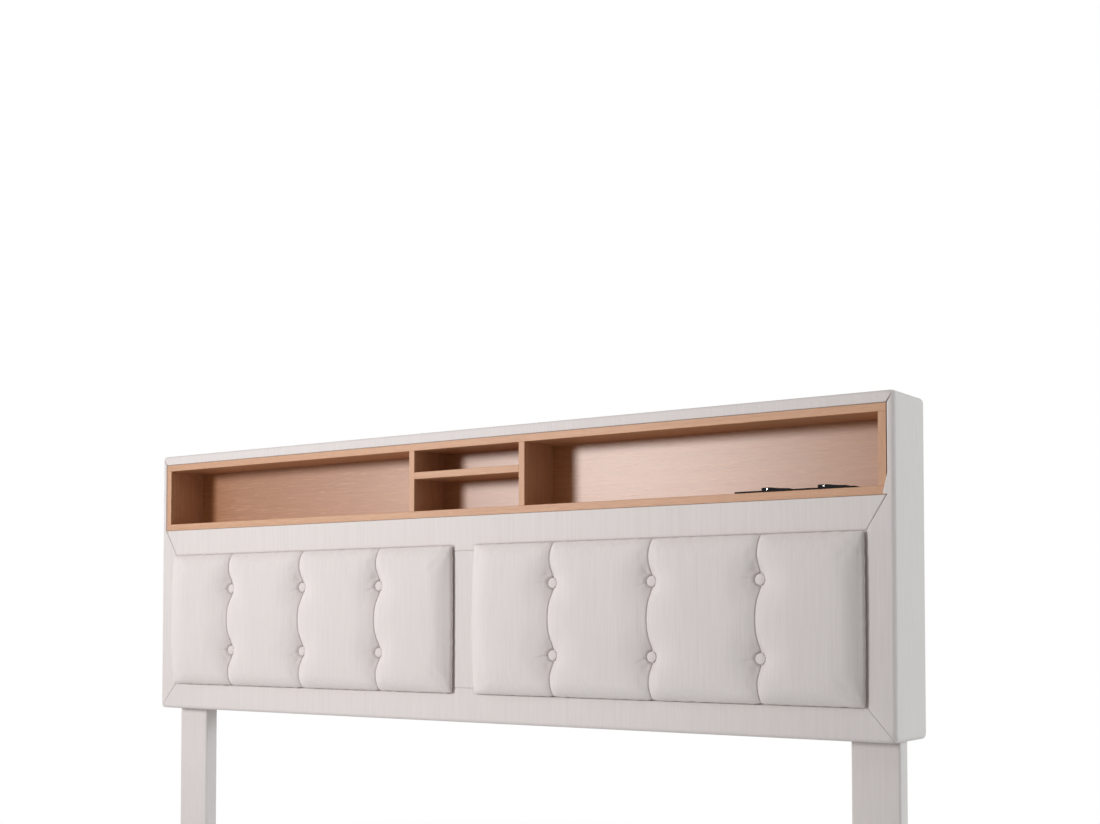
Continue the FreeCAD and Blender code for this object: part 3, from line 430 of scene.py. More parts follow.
def mesh_piece(name, points, faces, slot, stands_for):
    """A smooth mesh piece of the headboard that stands for CAD nodes."""
    mesh = bpy.data.meshes.new(name)
    mesh.from_pydata([tuple(point) for point in np.asarray(points, float).reshape(-1, 3)], [], faces)
    welded = bmesh.new()
    welded.from_mesh(mesh)
    bmesh.ops.remove_doubles(welded, verts=welded.verts, dist=SAME_POINT)
    welded.to_mesh(mesh)
    welded.free()
    mesh.polygons.foreach_set("use_smooth", [True] * len(mesh.polygons))
    mesh.materials.append(FINISHES[slot])
    piece = bpy.data.objects.new(name, mesh)
    bpy.context.scene.collection.objects.link(piece)
    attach(piece, "headboard")
    if stands_for:
        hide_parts(*stands_for)
    return piece


def steps_between(stops, step):
    """Places that include every stop, no further apart than a step."""
    places = [stops[0]]
    for start, end in zip(stops, stops[1:]):
        count = max(1, math.ceil((end - start) / step))
        places += list(np.linspace(start, end, count + 1)[1:])
    return np.array(places)


def seam_dip(distance):
    """How far the fabric has rolled inwards at a distance from its seam."""
    share = np.clip(1 - distance / SEAM_ROLL, 0, 1)
    return SEAM_ROLL * (1 - np.sqrt(1 - share ** 2))


# Border covers


def side_bow(height):
    """Share of a cushion side's swell at a height from its middle."""
    return np.clip(1 - (2 * height / (PAD_HIGH - PAD_LOW)) ** 2, 0, 1)


def press(points):
    """Push a cover's points back where the cushions press on it, beside their rims and under them."""
    x, y, z = np.moveaxis(points, -1, 0)
    bow = side_bow(z - PAD_MIDDLE_Z)
    beside_left = np.maximum(-PAD_OUTER - LEFT_SWELL["left"] * bow - x, x + PAD_INNER)
    beside_right = np.maximum(PAD_INNER - LEFT_SWELL["right"] * bow - x, x - PAD_OUTER)
    beside = np.minimum(beside_left, beside_right)
    above = np.maximum(PAD_LOW - z, z - PAD_HIGH)
    outside = np.hypot(np.maximum(beside, 0), np.maximum(above, 0))
    room = np.maximum(PANEL_FRONT + PRESS_DEPTH - y, 0)
    points[..., Y] += np.minimum(PRESS_DEPTH * np.exp(-outside / PRESS_WIDTH), room)


# Columns of a wrapped cover up to its front face, counted in points of its outline
WRAP_PLACES = np.concatenate([
    np.linspace(0, 1, LIP_COLUMNS, endpoint=False), np.arange(1, CORNER_POINTS),
    np.linspace(CORNER_POINTS, CORNER_POINTS + 1, EDGE_COLUMNS, endpoint=False),
    np.arange(CORNER_POINTS + 1, 2 * CORNER_POINTS + 1),
])


def rounded_section(inset, depth_low, depth_high, reach):
    """Outline of a cover from its back lip round the edge to the front: outward places and depths."""
    def corner(out, deep, radius, start):
        turns = np.radians(np.linspace(start, start - 90, CORNER_POINTS))
        return [(out + radius * math.cos(turn), deep + radius * math.sin(turn)) for turn in turns]

    back_radius = max(BACK_ROUND - inset, LEAST_ROUND)
    front_radius = EDGE_ROUND - inset
    points = [(-BACK_LIP, depth_high - inset)]
    points += corner(-inset - back_radius, depth_high - inset - back_radius, back_radius, 90)
    points += corner(-inset - front_radius, depth_low + inset + front_radius, front_radius, 0)
    points.append((-reach, depth_low + inset))
    return np.array(points)


def edge_turn(along, start, end):
    """Place along a cover and its inset there: both ends turn 45 degrees over the panel's edge."""
    angle_high = np.clip((along - (end - EDGE_ROUND)) / EDGE_ROUND, 0, None)
    angle_low = np.clip(((start + EDGE_ROUND) - along) / EDGE_ROUND, 0, None)
    flat = np.clip(along, start + EDGE_ROUND, end - EDGE_ROUND)
    place = flat + EDGE_ROUND * (np.sin(angle_high) - np.sin(angle_low))
    inset = EDGE_ROUND * (2 - np.cos(angle_high) - np.cos(angle_low))
    return place, inset


def cover_rows(widths):
    """Places of a wrapped cover's rows along the panel's edge, closer together at its sewn ends."""
    turn = EDGE_ROUND * (1 - math.pi / 4)
    first, last = widths[0][0] + turn, widths[-1][0] - turn
    inner_stops = [place for place, width in widths[1:-1]]
    main = steps_between([first + SEAM_STEPS[-1], *inner_stops, last - SEAM_STEPS[-1]], COVER_STEP)
    return np.concatenate([first + SEAM_STEPS[:-1], main, (last - SEAM_STEPS[:-1])[::-1]])


def cover_row(inset, width, reach, end_distance):
    """Outward places and depths of a wrapped cover's points in one row, rolled in at its seams."""
    path = rounded_section(inset, PANEL_FRONT, PANEL_BACK, reach)
    lengths = np.concatenate([[0], np.cumsum(np.linalg.norm(np.diff(path, axis=0), axis=1))])
    front = slice(CORNER_POINTS + 1, None)
    seam = np.interp(max(width, inset), -path[front, 0], lengths[front])
    turned = min(lengths[-2], seam - 2 * SEAM_STEPS[-1])
    wrap = np.interp(WRAP_PLACES, np.arange(len(lengths)), lengths) * turned / lengths[-2]
    strip = np.linspace(turned, seam - SEAM_STEPS[-1], STRIP_COLUMNS)
    across = np.concatenate([wrap, strip[1:], seam - SEAM_STEPS[-2::-1]])
    outward, depth = (np.interp(across, lengths, path[:, axis]) for axis in (0, 1))
    tangent = np.stack([np.gradient(outward, across), np.gradient(depth, across)], axis=1)
    tangent /= np.linalg.norm(tangent, axis=1)[:, None]
    dip = seam_dip(np.minimum(seam - across, end_distance))
    return outward + tangent[:, 1] * dip, depth - tangent[:, 0] * dip


def wrapped_cover(name, node, widths, to_frame, flip):
    """A cover that turns over the panel's edge; widths gives its front strip's width along the edge."""
    rows = cover_rows(widths)
    reach = max(width for place, width in widths)
    points = []
    for along in rows:
        place, inset = edge_turn(along, widths[0][0], widths[-1][0])
        width = np.interp(place, *np.array(widths).T)
        outward, depth = cover_row(inset, width, reach, min(along - rows[0], rows[-1] - along))
        points.append([to_frame(place, out, deep) for out, deep in zip(outward, depth)])
    points = np.array(points)
    press(points)
    piece = mesh_piece(name, points, grid_faces(*points.shape[:2], flip), "linen", [node])


def mitre(inner, outer, level):
    """Point where the mitre line from the outer to the inner corner reaches a level."""
    share = (level - outer[1]) / (inner[1] - outer[1])
    return outer[0] + share * (inner[0] - outer[0])


TUCK_LOW = PAD_LOW + CUSHION_TUCK
TUCK_HIGH = PAD_HIGH - CUSHION_TUCK
TUCK_LOW_X = mitre((PAD_OUTER, PAD_LOW), (HALF_WIDTH, PANEL_LOW), TUCK_LOW)
TUCK_HIGH_X = mitre((PAD_OUTER, PAD_HIGH), (CASE_HALF, CASE_LOW), TUCK_HIGH)


def make_wrapped_covers():
    border = HALF_WIDTH - CASE_HALF - END_GAP
    beside_cushion = [
        (PANEL_LOW, 0.0), (TUCK_LOW, HALF_WIDTH - TUCK_LOW_X),
        (TUCK_HIGH, HALF_WIDTH - TUCK_HIGH_X), (CASE_LOW, border),
    ]
    lap = [(CASE_LOW + LAP_TURN, border + CORNER_LAP), (CASE_LOW + LAP_RISE, border)]
    above_lap = [(CASE_HIGH, border), (PANEL_HIGH, 0.0)]
    wrapped_cover("right_side_fabric", "right_side_cover", beside_cushion + lap + above_lap,
                  lambda place, out, depth: (HALF_WIDTH + out, depth, place), True)
    wrapped_cover("left_side_fabric", "left_side_cover", beside_cushion + above_lap,
                  lambda place, out, depth: (-HALF_WIDTH - out, depth, place), False)
    strip = PANEL_HIGH - CASE_HIGH - WOOD_GAP
    wrapped_cover("top_fabric", "top_cover",
                  [(-HALF_WIDTH, 0.0), (-CASE_HALF, strip), (CASE_HALF, strip), (HALF_WIDTH, 0.0)],
                  lambda place, out, depth: (place, depth, PANEL_HIGH + out), False)
    strip = TUCK_LOW - PANEL_LOW
    wrapped_cover("bottom_fabric", "bottom_cover",
                  [(-HALF_WIDTH, 0.0), (-TUCK_LOW_X, strip), (TUCK_LOW_X, strip), (HALF_WIDTH, 0.0)],
                  lambda place, out, depth: (place, depth, PANEL_LOW - out), True)


def flat_cover(name, node, corners, steps):
    """A flat cover with four sewn sides; corners run from the lower left, against the clock."""
    corners = np.array(corners)
    width = np.linalg.norm(corners[2] - corners[3])
    height = corners[3, 1] - corners[0, 1]

    def shares(length, step):
        ends = SEAM_STEPS / length
        middle = steps_between([ends[-1], 1 - ends[-1]], step / length)
        return np.concatenate([ends[:-1], middle, 1 - ends[-2::-1]])

    across, up = np.meshgrid(shares(width, steps[0]), shares(height, steps[1]))
    low_side = corners[0] + across[..., None] * (corners[1] - corners[0])
    high_side = corners[3] + across[..., None] * (corners[2] - corners[3])
    places = low_side + up[..., None] * (high_side - low_side)
    distance = np.full(across.shape, np.inf)
    for start, end in zip(corners, np.roll(corners, -1, axis=0)):
        side = (end - start) / np.linalg.norm(end - start)
        offset = places - start
        distance = np.minimum(distance, np.abs(offset[..., 0] * side[1] - offset[..., 1] * side[0]))
    points = np.stack([places[..., 0], PANEL_FRONT + seam_dip(distance), places[..., 1]], axis=-1)
    press(points)
    piece = mesh_piece(name, points, grid_faces(*across.shape), "linen", [node])


def make_flat_covers():
    flat_cover("middle_fabric", "middle_cover", [
        (-TUCK_HIGH_X, TUCK_HIGH), (TUCK_HIGH_X, TUCK_HIGH),
        (CASE_HALF, CASE_LOW - WOOD_GAP), (-CASE_HALF, CASE_LOW - WOOD_GAP),
    ], (COVER_STEP, FINE_STEP))
    reach = PAD_INNER + CUSHION_TUCK
    flat_cover("centre_fabric", "centre_cover", [
        (-reach, TUCK_LOW), (reach, TUCK_LOW), (reach, TUCK_HIGH), (-reach, TUCK_HIGH),
    ], (FINE_STEP, COVER_STEP))


# Cushions


def shoulder(distance, width):
    """Share of the crown that the pad has reached at a distance from its rim."""
    share = np.clip(distance / width, 0, 1)
    return (1 - (1 - share) ** SHOULDER_FALL) ** SHOULDER_STEEP


class Cushion:
    """Shape of one tufted pad, over places on its face measured from its middle."""

    half_width = (PAD_OUTER - PAD_INNER) / 2
    half_height = (PAD_HIGH - PAD_LOW) / 2
    crown = PAD_REAR - PAD_FRONT + CROWN_RISE

    def __init__(self, side, seed):
        self.swell = LEFT_SWELL[side]
        chance = np.random.default_rng(seed)
        self.waves = [
            (chance.uniform(*WAVE_RATES, 2), chance.uniform(0, 2 * math.pi), chance.uniform(*WAVE_SIZES))
            for _ in range(WAVE_COUNT)
        ]
        self.puckers = [
            (chance.uniform(*PUCKER_RATES), chance.uniform(0, 2 * math.pi)) for _ in range(PUCKER_COUNT)
        ]
        self.pleats = []
        for place in BUTTON_PLACES:
            for way, strength in PLEAT_KINDS:
                turn = math.radians(way + chance.uniform(-PLEAT_SPREAD, PLEAT_SPREAD))
                self.pleats.append((place, turn, strength * chance.uniform(*PLEAT_SHARES)))

    def base(self, x, z):
        """Height of the pad before it swells: a low rim, a crown, seam folds and button wells."""
        rise = shoulder(self.half_width + x, LEFT_SHOULDER)
        rise *= shoulder(self.half_width - x, RIGHT_SHOULDER)
        rise *= shoulder(self.half_height - np.abs(z), END_SHOULDER)
        height = RIM_HEIGHT + (self.crown - RIM_HEIGHT) * rise
        held = RIM_HOLD + (1 - RIM_HOLD) * rise
        for column in SEAM_COLUMNS:
            height = height - held * FOLD_DEPTH * np.exp(-np.abs(x - column) / FOLD_WIDTH)
        for column, row in BUTTON_PLACES:
            aside, above = np.abs(x - column), np.abs(z - row)
            well = np.exp(-(aside / WELL_WIDTH) ** WELL_POWER - (above / WELL_LENGTH) ** 2)
            dimple = np.exp(-(np.hypot(aside, above) / DIMPLE_RADIUS) ** DIMPLE_POWER)
            height = height - WELL_DEPTH * well - DIMPLE_DEPTH * dimple
        return height

    def sewing(self, x, z):
        """Depth of the sewn slots and of the pleats beside the buttons, less the fabric's slow waves."""
        depth = np.zeros(x.shape)
        for column in SEAM_COLUMNS:
            depth += SLOT_DEPTH * np.exp(-((x - column) / SLOT_WIDTH) ** 2)
        for (column, row), turn, strength in self.pleats:
            ahead = (x - column) * math.cos(turn) + (z - row) * math.sin(turn)
            aside = (z - row) * math.cos(turn) - (x - column) * math.sin(turn) - PLEAT_BEND * ahead ** 2
            fade = np.clip(1 - ahead / PLEAT_LENGTH, 0, 1) * (ahead > 0)
            depth += PLEAT_DEPTH * strength * fade * np.exp(-np.abs(aside) / PLEAT_WIDTH)
        for (rate_x, rate_z), phase, size in self.waves:
            depth -= size * np.sin(rate_x * x + rate_z * z + phase)
        return depth

    def drawn_in(self, x, z):
        """Places on the face once its sides swell and are notched, and its seams lean."""
        near_side = (np.abs(x) / self.half_width) ** EDGE_POWER
        near_end = (np.abs(z) / self.half_height) ** EDGE_POWER
        ripple = sum(np.sin(rate * (x + z) + phase) for rate, phase in self.puckers) * RIM_PUCKER
        notch = sum(np.exp(-np.abs(x - column) / NOTCH_WIDTH) for column in SEAM_COLUMNS) * RIM_NOTCH
        held = sum(np.exp(-((z - row) / WELL_LENGTH) ** 2) for row in BUTTON_ROWS)
        held += np.exp(-((self.half_height - np.abs(z)) / WELL_LENGTH) ** 2)
        lean = sum(np.exp(-((x - column) / LEAN_REACH) ** 2) for column in SEAM_COLUMNS) * SEAM_LEAN
        bow = side_bow(z)
        swell = self.swell * (x < 0) * bow - SIDE_TUCK * (1 - bow) - ripple
        new_x = x + np.sign(x) * near_side * swell - lean * np.clip(1 - held, 0, 1)
        new_z = z - np.sign(z) * near_end * (notch + ripple)
        return new_x, new_z


def face_places(half, holds, steps):
    """Distances over a pad's face, closer together at its edges and where it is held."""
    places = set(steps_between([-half, *holds, half], PAD_STEP))
    places |= {side * (half - step) for step in EDGE_STEPS for side in (-1, 1)}
    places |= {hold + side * step for hold in holds for step in steps for side in (-1, 1)}
    places = np.array(sorted(places))
    apart = np.diff(places, prepend=-np.inf) > SMALLEST_STEP
    return places[apart]


def cloth_sheet(rest, held):
    """A sheet of cloth at its rest shape, pinned where it is held and under pressure from behind."""
    mesh = bpy.data.meshes.new("cushion_cloth")
    mesh.from_pydata([tuple(point) for point in rest.reshape(-1, 3)], [], grid_faces(*held.shape))
    cloth = bpy.data.objects.new("cushion_cloth", mesh)
    bpy.context.scene.collection.objects.link(cloth)
    pins = cloth.vertex_groups.new(name="held")
    pins.add([int(index) for index in np.flatnonzero(held)], 1.0, "REPLACE")
    modifier = cloth.modifiers.new("Cloth", "CLOTH")
    settings = modifier.settings
    settings.quality = CLOTH_QUALITY
    settings.vertex_group_mass = "held"
    settings.use_pressure = True
    settings.uniform_pressure_force = CLOTH_PRESSURE
    settings.tension_stiffness = CLOTH_STIFFNESS
    settings.compression_stiffness = CLOTH_STIFFNESS
    settings.bending_stiffness = CLOTH_BENDING
    settings.effector_weights.gravity = 0
    modifier.point_cache.frame_start = 1
    modifier.point_cache.frame_end = CLOTH_FRAMES
    return cloth


def simulate(cushion, half_x, half_z):
    """Bulge of the pad's fabric under its filling, on a coarse grid held at the rim and the buttons."""
    across = steps_between([-half_x, half_x], CLOTH_STEP)
    up = steps_between([-half_z, half_z], CLOTH_STEP)
    x, z = np.meshgrid(across, up)
    rest = np.stack([x, -cushion.base(x, z), z], axis=-1)
    held = np.zeros(x.shape, bool)
    held[[0, -1], :] = True
    held[:, [0, -1]] = True
    for column, row in BUTTON_PLACES:
        held |= np.hypot(x - column, z - row) < BUTTON_HOLD
    cloth = cloth_sheet(rest, held)
    for frame_number in range(1, CLOTH_FRAMES + 1):
        bpy.context.scene.frame_set(frame_number)
    evaluated = cloth.evaluated_get(bpy.context.evaluated_depsgraph_get())
    moved = np.empty(rest.size)
    evaluated.data.vertices.foreach_get("co", moved)
    bulge = moved.reshape(rest.shape) - rest
    length = np.maximum(np.linalg.norm(bulge, axis=-1, keepdims=True), LEAST_BULGE)
    bulge *= LARGEST_BULGE * np.tanh(length / LARGEST_BULGE) / length
    bpy.context.scene.frame_set(1)
    bpy.data.objects.remove(cloth)
    return across, up, bulge


def spread(coarse, x, z):
    """Values of a coarse grid at the places of a finer one, smoothed over its steps."""
    across, up, values = coarse
    column = np.clip(np.searchsorted(across, x) - 1, 0, len(across) - 2)
    row = np.clip(np.searchsorted(up, z) - 1, 0, len(up) - 2)
    share_x = ((x - across[column]) / (across[column + 1] - across[column]))[..., None]
    share_z = ((z - up[row]) / (up[row + 1] - up[row]))[..., None]
    below = values[row, column] * (1 - share_x) + values[row, column + 1] * share_x
    above = values[row + 1, column] * (1 - share_x) + values[row + 1, column + 1] * share_x
    fine = below * (1 - share_z) + above * share_z
    for _ in range(SMOOTH_PASSES):
        fine[1:-1] = (fine[:-2] + 2 * fine[1:-1] + fine[2:]) / 4
        fine[:, 1:-1] = (fine[:, :-2] + 2 * fine[:, 1:-1] + fine[:, 2:]) / 4
    return fine


def rim_loop(rows, columns):
    """Face points round a grid's edge, each with its outward turn in degrees; the corners fan out."""
    sides = [
        (range(columns), -90),
        (range(columns - 1, rows * columns, columns), 0),
        (range(rows * columns - 1, (rows - 1) * columns - 1, -1), 90),
        (range((rows - 1) * columns, -1, -columns), 180),
    ]
    loop = []
    for indices, turn in sides:
        loop += [(index, turn) for index in indices]
        loop += [(indices[-1], turn + extra) for extra in CORNER_TURNS]
    return loop


def rim_profile(height):
    """How the rim goes on from the face to the back: outward steps, and heights for each edge point."""
    slope = math.radians(RIM_SLOPE)
    steps = []
    for turn in np.radians(np.linspace(RIM_SLOPE, 90, RIM_STEPS)[1:]):
        drop = RIM_DROP * (1 - math.cos(turn) / math.cos(slope))
        steps.append((RIM_ROUND * (math.sin(turn) - math.sin(slope)), height * (1 - drop)))
    reach, level = steps[-1]
    for turn in np.radians(np.linspace(0, UNDERCUT_TURN, RIM_STEPS)[1:]):
        steps.append((reach - RIM_UNDERCUT * (1 - math.cos(turn)), level * (1 - math.sin(turn))))
    return steps


def add_rim(face, faces, shape):
    """Carry the face's edge round the rim and close the back: adds to faces and gives all points."""
    loop = rim_loop(*shape)
    inner = [index for index, turn in loop]
    edge = face[inner]
    turns = np.radians([turn for index, turn in loop])
    points = [face]
    for outward, level in rim_profile(-edge[:, 1]):
        x = edge[:, 0] + outward * np.cos(turns)
        z = edge[:, 2] + outward * np.sin(turns)
        outer = [sum(map(len, points)) + step for step in range(len(loop))]
        for here in range(len(loop)):
            after = (here + 1) % len(loop)
            corners = (inner[here], outer[here], outer[after], inner[after])
            faces.append(tuple(dict.fromkeys(corners)))
        points.append(np.stack([x, -level, z], axis=-1))
        inner = outer
    faces.append(tuple(reversed(inner)))
    return np.concatenate(points)


def make_cushion(side, seed):
    """One tufted cushion: its face, which the simulated filling swells, and the rim round it."""
    cushion = Cushion(side, seed)
    turn_in = RIM_ROUND * (1 - math.sin(math.radians(RIM_SLOPE)))
    half_x, half_z = cushion.half_width - turn_in, cushion.half_height - turn_in
    x, z = np.meshgrid(face_places(half_x, SEAM_COLUMNS, COLUMN_STEPS),
                       face_places(half_z, BUTTON_ROWS, ROW_STEPS))
    height = cushion.base(x, z) - cushion.sewing(x, z)
    new_x, new_z = cushion.drawn_in(x, z)
    face = np.stack([new_x, -np.maximum(height, SMALLEST_HEIGHT), new_z], axis=-1)
    face += spread(simulate(cushion, half_x, half_z), x, z)
    faces = grid_faces(*x.shape)
    points = add_rim(face.reshape(-1, 3), faces, x.shape)
    points += np.array([PAD_MIDDLE_X[side], PAD_REAR, PAD_MIDDLE_Z])
    piece = mesh_piece(f"{side}_cushion", points, faces, "linen", [f"{side}_cushion_pad"])


def make_buttons(side):
    """Six fabric-covered buttons, each a dome that turns in to a neck behind its widest ring."""
    turns = np.linspace(0, 2 * math.pi, BUTTON_SIDES, endpoint=False)
    angle, turn = np.meshgrid(BUTTON_RINGS, turns, indexing="ij")
    pucker = 1 + BUTTON_PUCKER * np.cos(BUTTON_PLEATS * turn) * np.sin(angle) ** PUCKER_POWER
    radius = BUTTON_RADIUS * np.sin(angle) * pucker
    depth = BUTTON_FRONT + BUTTON_SUNK + BUTTON_DOME * (1 - np.cos(angle))
    depth[-1] = PAD_REAR
    last_ring = (len(BUTTON_RINGS) - 1) * BUTTON_SIDES
    points = []
    faces = []
    for column, row in BUTTON_PLACES:
        first = len(points)
        x = PAD_MIDDLE_X[side] + column + radius * np.cos(turn)
        z = PAD_MIDDLE_Z + row + radius * np.sin(turn)
        points += list(np.stack([x, depth, z], axis=-1).reshape(-1, 3))
        for ring_start in range(first, first + last_ring, BUTTON_SIDES):
            for step in range(BUTTON_SIDES):
                here = ring_start + step
                after = ring_start + (step + 1) % BUTTON_SIDES
                faces.append((here, here + BUTTON_SIDES, after + BUTTON_SIDES, after))
        faces.append(tuple(first + step for step in range(BUTTON_SIDES)))
        faces.append(tuple(first + last_ring + step for step in reversed(range(BUTTON_SIDES))))
    piece = mesh_piece(f"{side}_buttons", points, faces, "linen", [f"{side}_tuft_buttons"])


# Stretched cloth


def patch_border(block, columns):
    """Points of a grid round a block of its cells, against the clock."""
    left, right, bottom, top = block
    border = [bottom * columns + column for column in range(left, right)]
    border += [row * columns + right for row in range(bottom, top)]
    border += [top * columns + column for column in range(right, left, -1)]
    border += [row * columns + left for row in range(top, bottom, -1)]
    return border


def holed_grid(across, up, holes, radius, patch):
    """Grid with round holes whose edges turn in: points of across, up and depth, and its faces."""
    columns = len(across)
    points = [(place, level, 0.0) for level in up for place in across]
    blocks = []
    for middle in holes:
        hole_columns = np.flatnonzero(np.abs(across - middle[0]) < patch * PATCH_SLACK)
        hole_rows = np.flatnonzero(np.abs(up - middle[1]) < patch * PATCH_SLACK)
        blocks.append((hole_columns[0], hole_columns[-1], hole_rows[0], hole_rows[-1]))
    faces = []
    for quad in grid_faces(len(up), columns):
        row, column = divmod(quad[0], columns)
        if not any(left <= column < right and bottom <= row < top for left, right, bottom, top in blocks):
            faces.append(quad)
    for middle, block in zip(holes, blocks):
        border = patch_border(block, columns)
        outer = border
        for share, depth in HOLE_RINGS:
            ring = []
            for index in border:
                place = np.array(points[index][:2])
                away = place - middle
                rim = middle + away * radius / np.linalg.norm(away)
                ring.append(len(points))
                points.append((*(place + share * (rim - place)), depth))
            for here in range(len(border)):
                after = (here + 1) % len(border)
                faces.append((outer[here], outer[after], ring[after], ring[here]))
            outer = ring
    return np.array(points), faces


def grid_lines(ends, middles, patch, step):
    """Lines of a holed grid: through its ends and through each hole's patch."""
    stops = [middle + share * patch for middle in middles for share in PATCH_LINES]
    return steps_between(np.unique(np.round([*ends, *stops], PLACE_DIGITS)), step)


def rail_holes(side):
    """Levels and radius of the bed rail's bolt holes in one leg, from its mount."""
    mount = next(mount for mount in frame["record"]["mounts"] if mount["name"] == f"{side}_rail_bolts")
    half = mount["dims"]["spacing_y_mm"] / MILLIMETRES / 2
    level = mount["pos_m"][Z]
    return (level - half, level + half), mount["dims"]["hole_r_mm"] / MILLIMETRES


def leg_outline(half_x, half_y):
    """Outline of a leg from the middle of its left side, against the clock, and the length along it."""
    outline = [(-half_x - LEG_ROUND, 0.0)]
    for sign_x, sign_y, start in ((-1, -1, 180), (1, -1, 270), (1, 1, 0), (-1, 1, 90)):
        for turn in np.radians(np.linspace(start, start + 90, LEG_CORNER_POINTS)):
            outline.append((sign_x * half_x + LEG_ROUND * math.cos(turn),
                            sign_y * half_y + LEG_ROUND * math.sin(turn)))
    outline = np.array(outline + outline[:1])
    steps = np.linalg.norm(np.diff(outline, axis=0), axis=1)
    return outline, np.concatenate([[0], np.cumsum(steps)])


def make_leg_fabric(side):
    """Fabric sleeve of one leg: round upright edges, a turned-in hem and the rail's bolt holes."""
    low_corner, high_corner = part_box(f"{side}_leg_sleeve")
    middle = (low_corner + high_corner) / 2
    half_x, half_y = high_corner.x - middle.x - LEG_ROUND, high_corner.y - middle.y - LEG_ROUND
    outline, lengths = leg_outline(half_x, half_y)
    front = lengths[LEG_CORNER_POINTS] + half_x
    hole_columns = (front, lengths[-1] - front)
    hole_levels, radius = rail_holes(side)
    across = grid_lines(lengths, hole_columns, LEG_PATCH, LEG_STEP)
    up = grid_lines([*(low_corner.z + HEM_STOPS), high_corner.z], hole_levels, LEG_PATCH, LEG_STEP)
    holes = [np.array((place, level)) for place in hole_columns for level in hole_levels]
    grid, faces = holed_grid(across, up, holes, radius, LEG_PATCH)
    place, level, depth = grid.T
    x, y = (np.interp(place, lengths, outline[:, axis]) for axis in (0, 1))
    hem = np.clip(1 - (level - low_corner.z) / LEG_HEM, 0, 1)
    depth = depth + LEG_HEM * (1 - np.sqrt(1 - hem ** 2))
    inwards = np.stack([-np.sign(x) * (np.abs(x) > half_x), -np.sign(y) * (np.abs(y) > half_y)])
    inwards = inwards / np.maximum(np.linalg.norm(inwards, axis=0), 1)
    x = middle.x + x + inwards[0] * depth
    y = middle.y + y + inwards[1] * depth
    points = np.stack([x, y, level], axis=-1)
    piece = mesh_piece(f"{side}_leg_fabric", points, faces, "linen", [f"{side}_leg_sleeve"])


def make_back_cloth():
    """Dust cloth pulled over the panel's back and the covers' turned edges, open at the leg bolts."""
    half_x = HALF_WIDTH - BACK_EDGE
    low_edge, high_edge = PANEL_LOW + BACK_EDGE, PANEL_HIGH - BACK_EDGE
    leg_middle = (low("right_leg", X) + high("right_leg", X)) / 2
    hole_columns = (-leg_middle, leg_middle)
    across = grid_lines([-half_x, -half_x + CLOTH_THICK, half_x - CLOTH_THICK, half_x], hole_columns,
                        BACK_PATCH, BACK_STEP)
    up = grid_lines([low_edge, low_edge + CLOTH_THICK, high_edge - CLOTH_THICK, high_edge], BOLT_LEVELS,
                    BACK_PATCH, BACK_STEP)
    holes = [np.array((column, level)) for column in hole_columns for level in BOLT_LEVELS]
    grid, faces = holed_grid(across, up, holes, BOLT_ACCESS, BACK_PATCH)
    place, level, depth = grid.T
    inside = np.minimum(half_x - np.abs(place), np.minimum(level - low_edge, high_edge - level))
    lift = CLOTH_THICK * np.clip(inside / CLOTH_THICK, 0, 1)
    sink = 2 * CLOTH_THICK * np.clip((inside - BACK_LIP + BACK_EDGE) / BACK_LIP, 0, 1)
    wave = np.sin(SAG_RATES[0] * place + SAG_RATES[1] * level)
    sag = CLOTH_SAG * wave * np.clip(inside / BACK_LIP, 0, 1)
    points = np.stack([-place, PANEL_BACK + lift - sink - depth + sag, level], axis=-1)
    piece = mesh_piece("back_fabric", points, faces, "back_cloth", ["back_cloth"])


def staple_places():
    """Middle and turn of each staple round the back cloth's edge."""
    half_x = HALF_WIDTH - BACK_EDGE - STAPLE_INSET
    low_edge, high_edge = PANEL_LOW + BACK_EDGE + STAPLE_INSET, PANEL_HIGH - BACK_EDGE - STAPLE_INSET
    columns = steps_between([-half_x + STAPLE_PITCH / 2, half_x - STAPLE_PITCH / 2], STAPLE_PITCH)
    levels = steps_between([low_edge + STAPLE_PITCH / 2, high_edge - STAPLE_PITCH / 2], STAPLE_PITCH)
    places = [(column, level, 0) for level in (low_edge, high_edge) for column in columns]
    return places + [(column, level, 90) for column in (-half_x, half_x) for level in levels]


def make_staples():
    """Wire staples along the edge of the back cloth, each with its legs turned into the wood."""
    half = STAPLE_LENGTH / 2
    path = np.array([
        (-half, -STAPLE_LEG), (-half, 0), (-half + STAPLE_WIRE, STAPLE_WIRE),
        (half - STAPLE_WIRE, STAPLE_WIRE), (half, 0), (half, -STAPLE_LEG),
    ])
    ways = np.gradient(path, axis=0)
    ways /= np.linalg.norm(ways, axis=1)[:, None]
    turns = np.linspace(0, 2 * math.pi, STAPLE_SIDES, endpoint=False)
    points = []
    faces = []
    for column, level, turn in staple_places():
        first = len(points)
        along = np.array((math.cos(math.radians(turn)), 0, math.sin(math.radians(turn))))
        aside = np.array((-along[2], 0, along[0]))
        outward = np.array((0, 1, 0))
        middle = np.array((column, PANEL_BACK + CLOTH_THICK, level))
        for (reach, rise), (way_along, way_out) in zip(path, ways):
            normal = way_along * outward - way_out * along
            spine = middle + reach * along + rise * outward
            for angle in turns:
                around = math.cos(angle) * normal + math.sin(angle) * aside
                points.append(spine + STAPLE_WIRE * around)
        for ring_start in range(first, len(points) - STAPLE_SIDES, STAPLE_SIDES):
            for step in range(STAPLE_SIDES):
                here = ring_start + step
                after = ring_start + (step + 1) % STAPLE_SIDES
                faces.append((here, after, after + STAPLE_SIDES, here + STAPLE_SIDES))
    mesh_piece("back_staples", points, faces, "bolt_steel", [])


# Stage


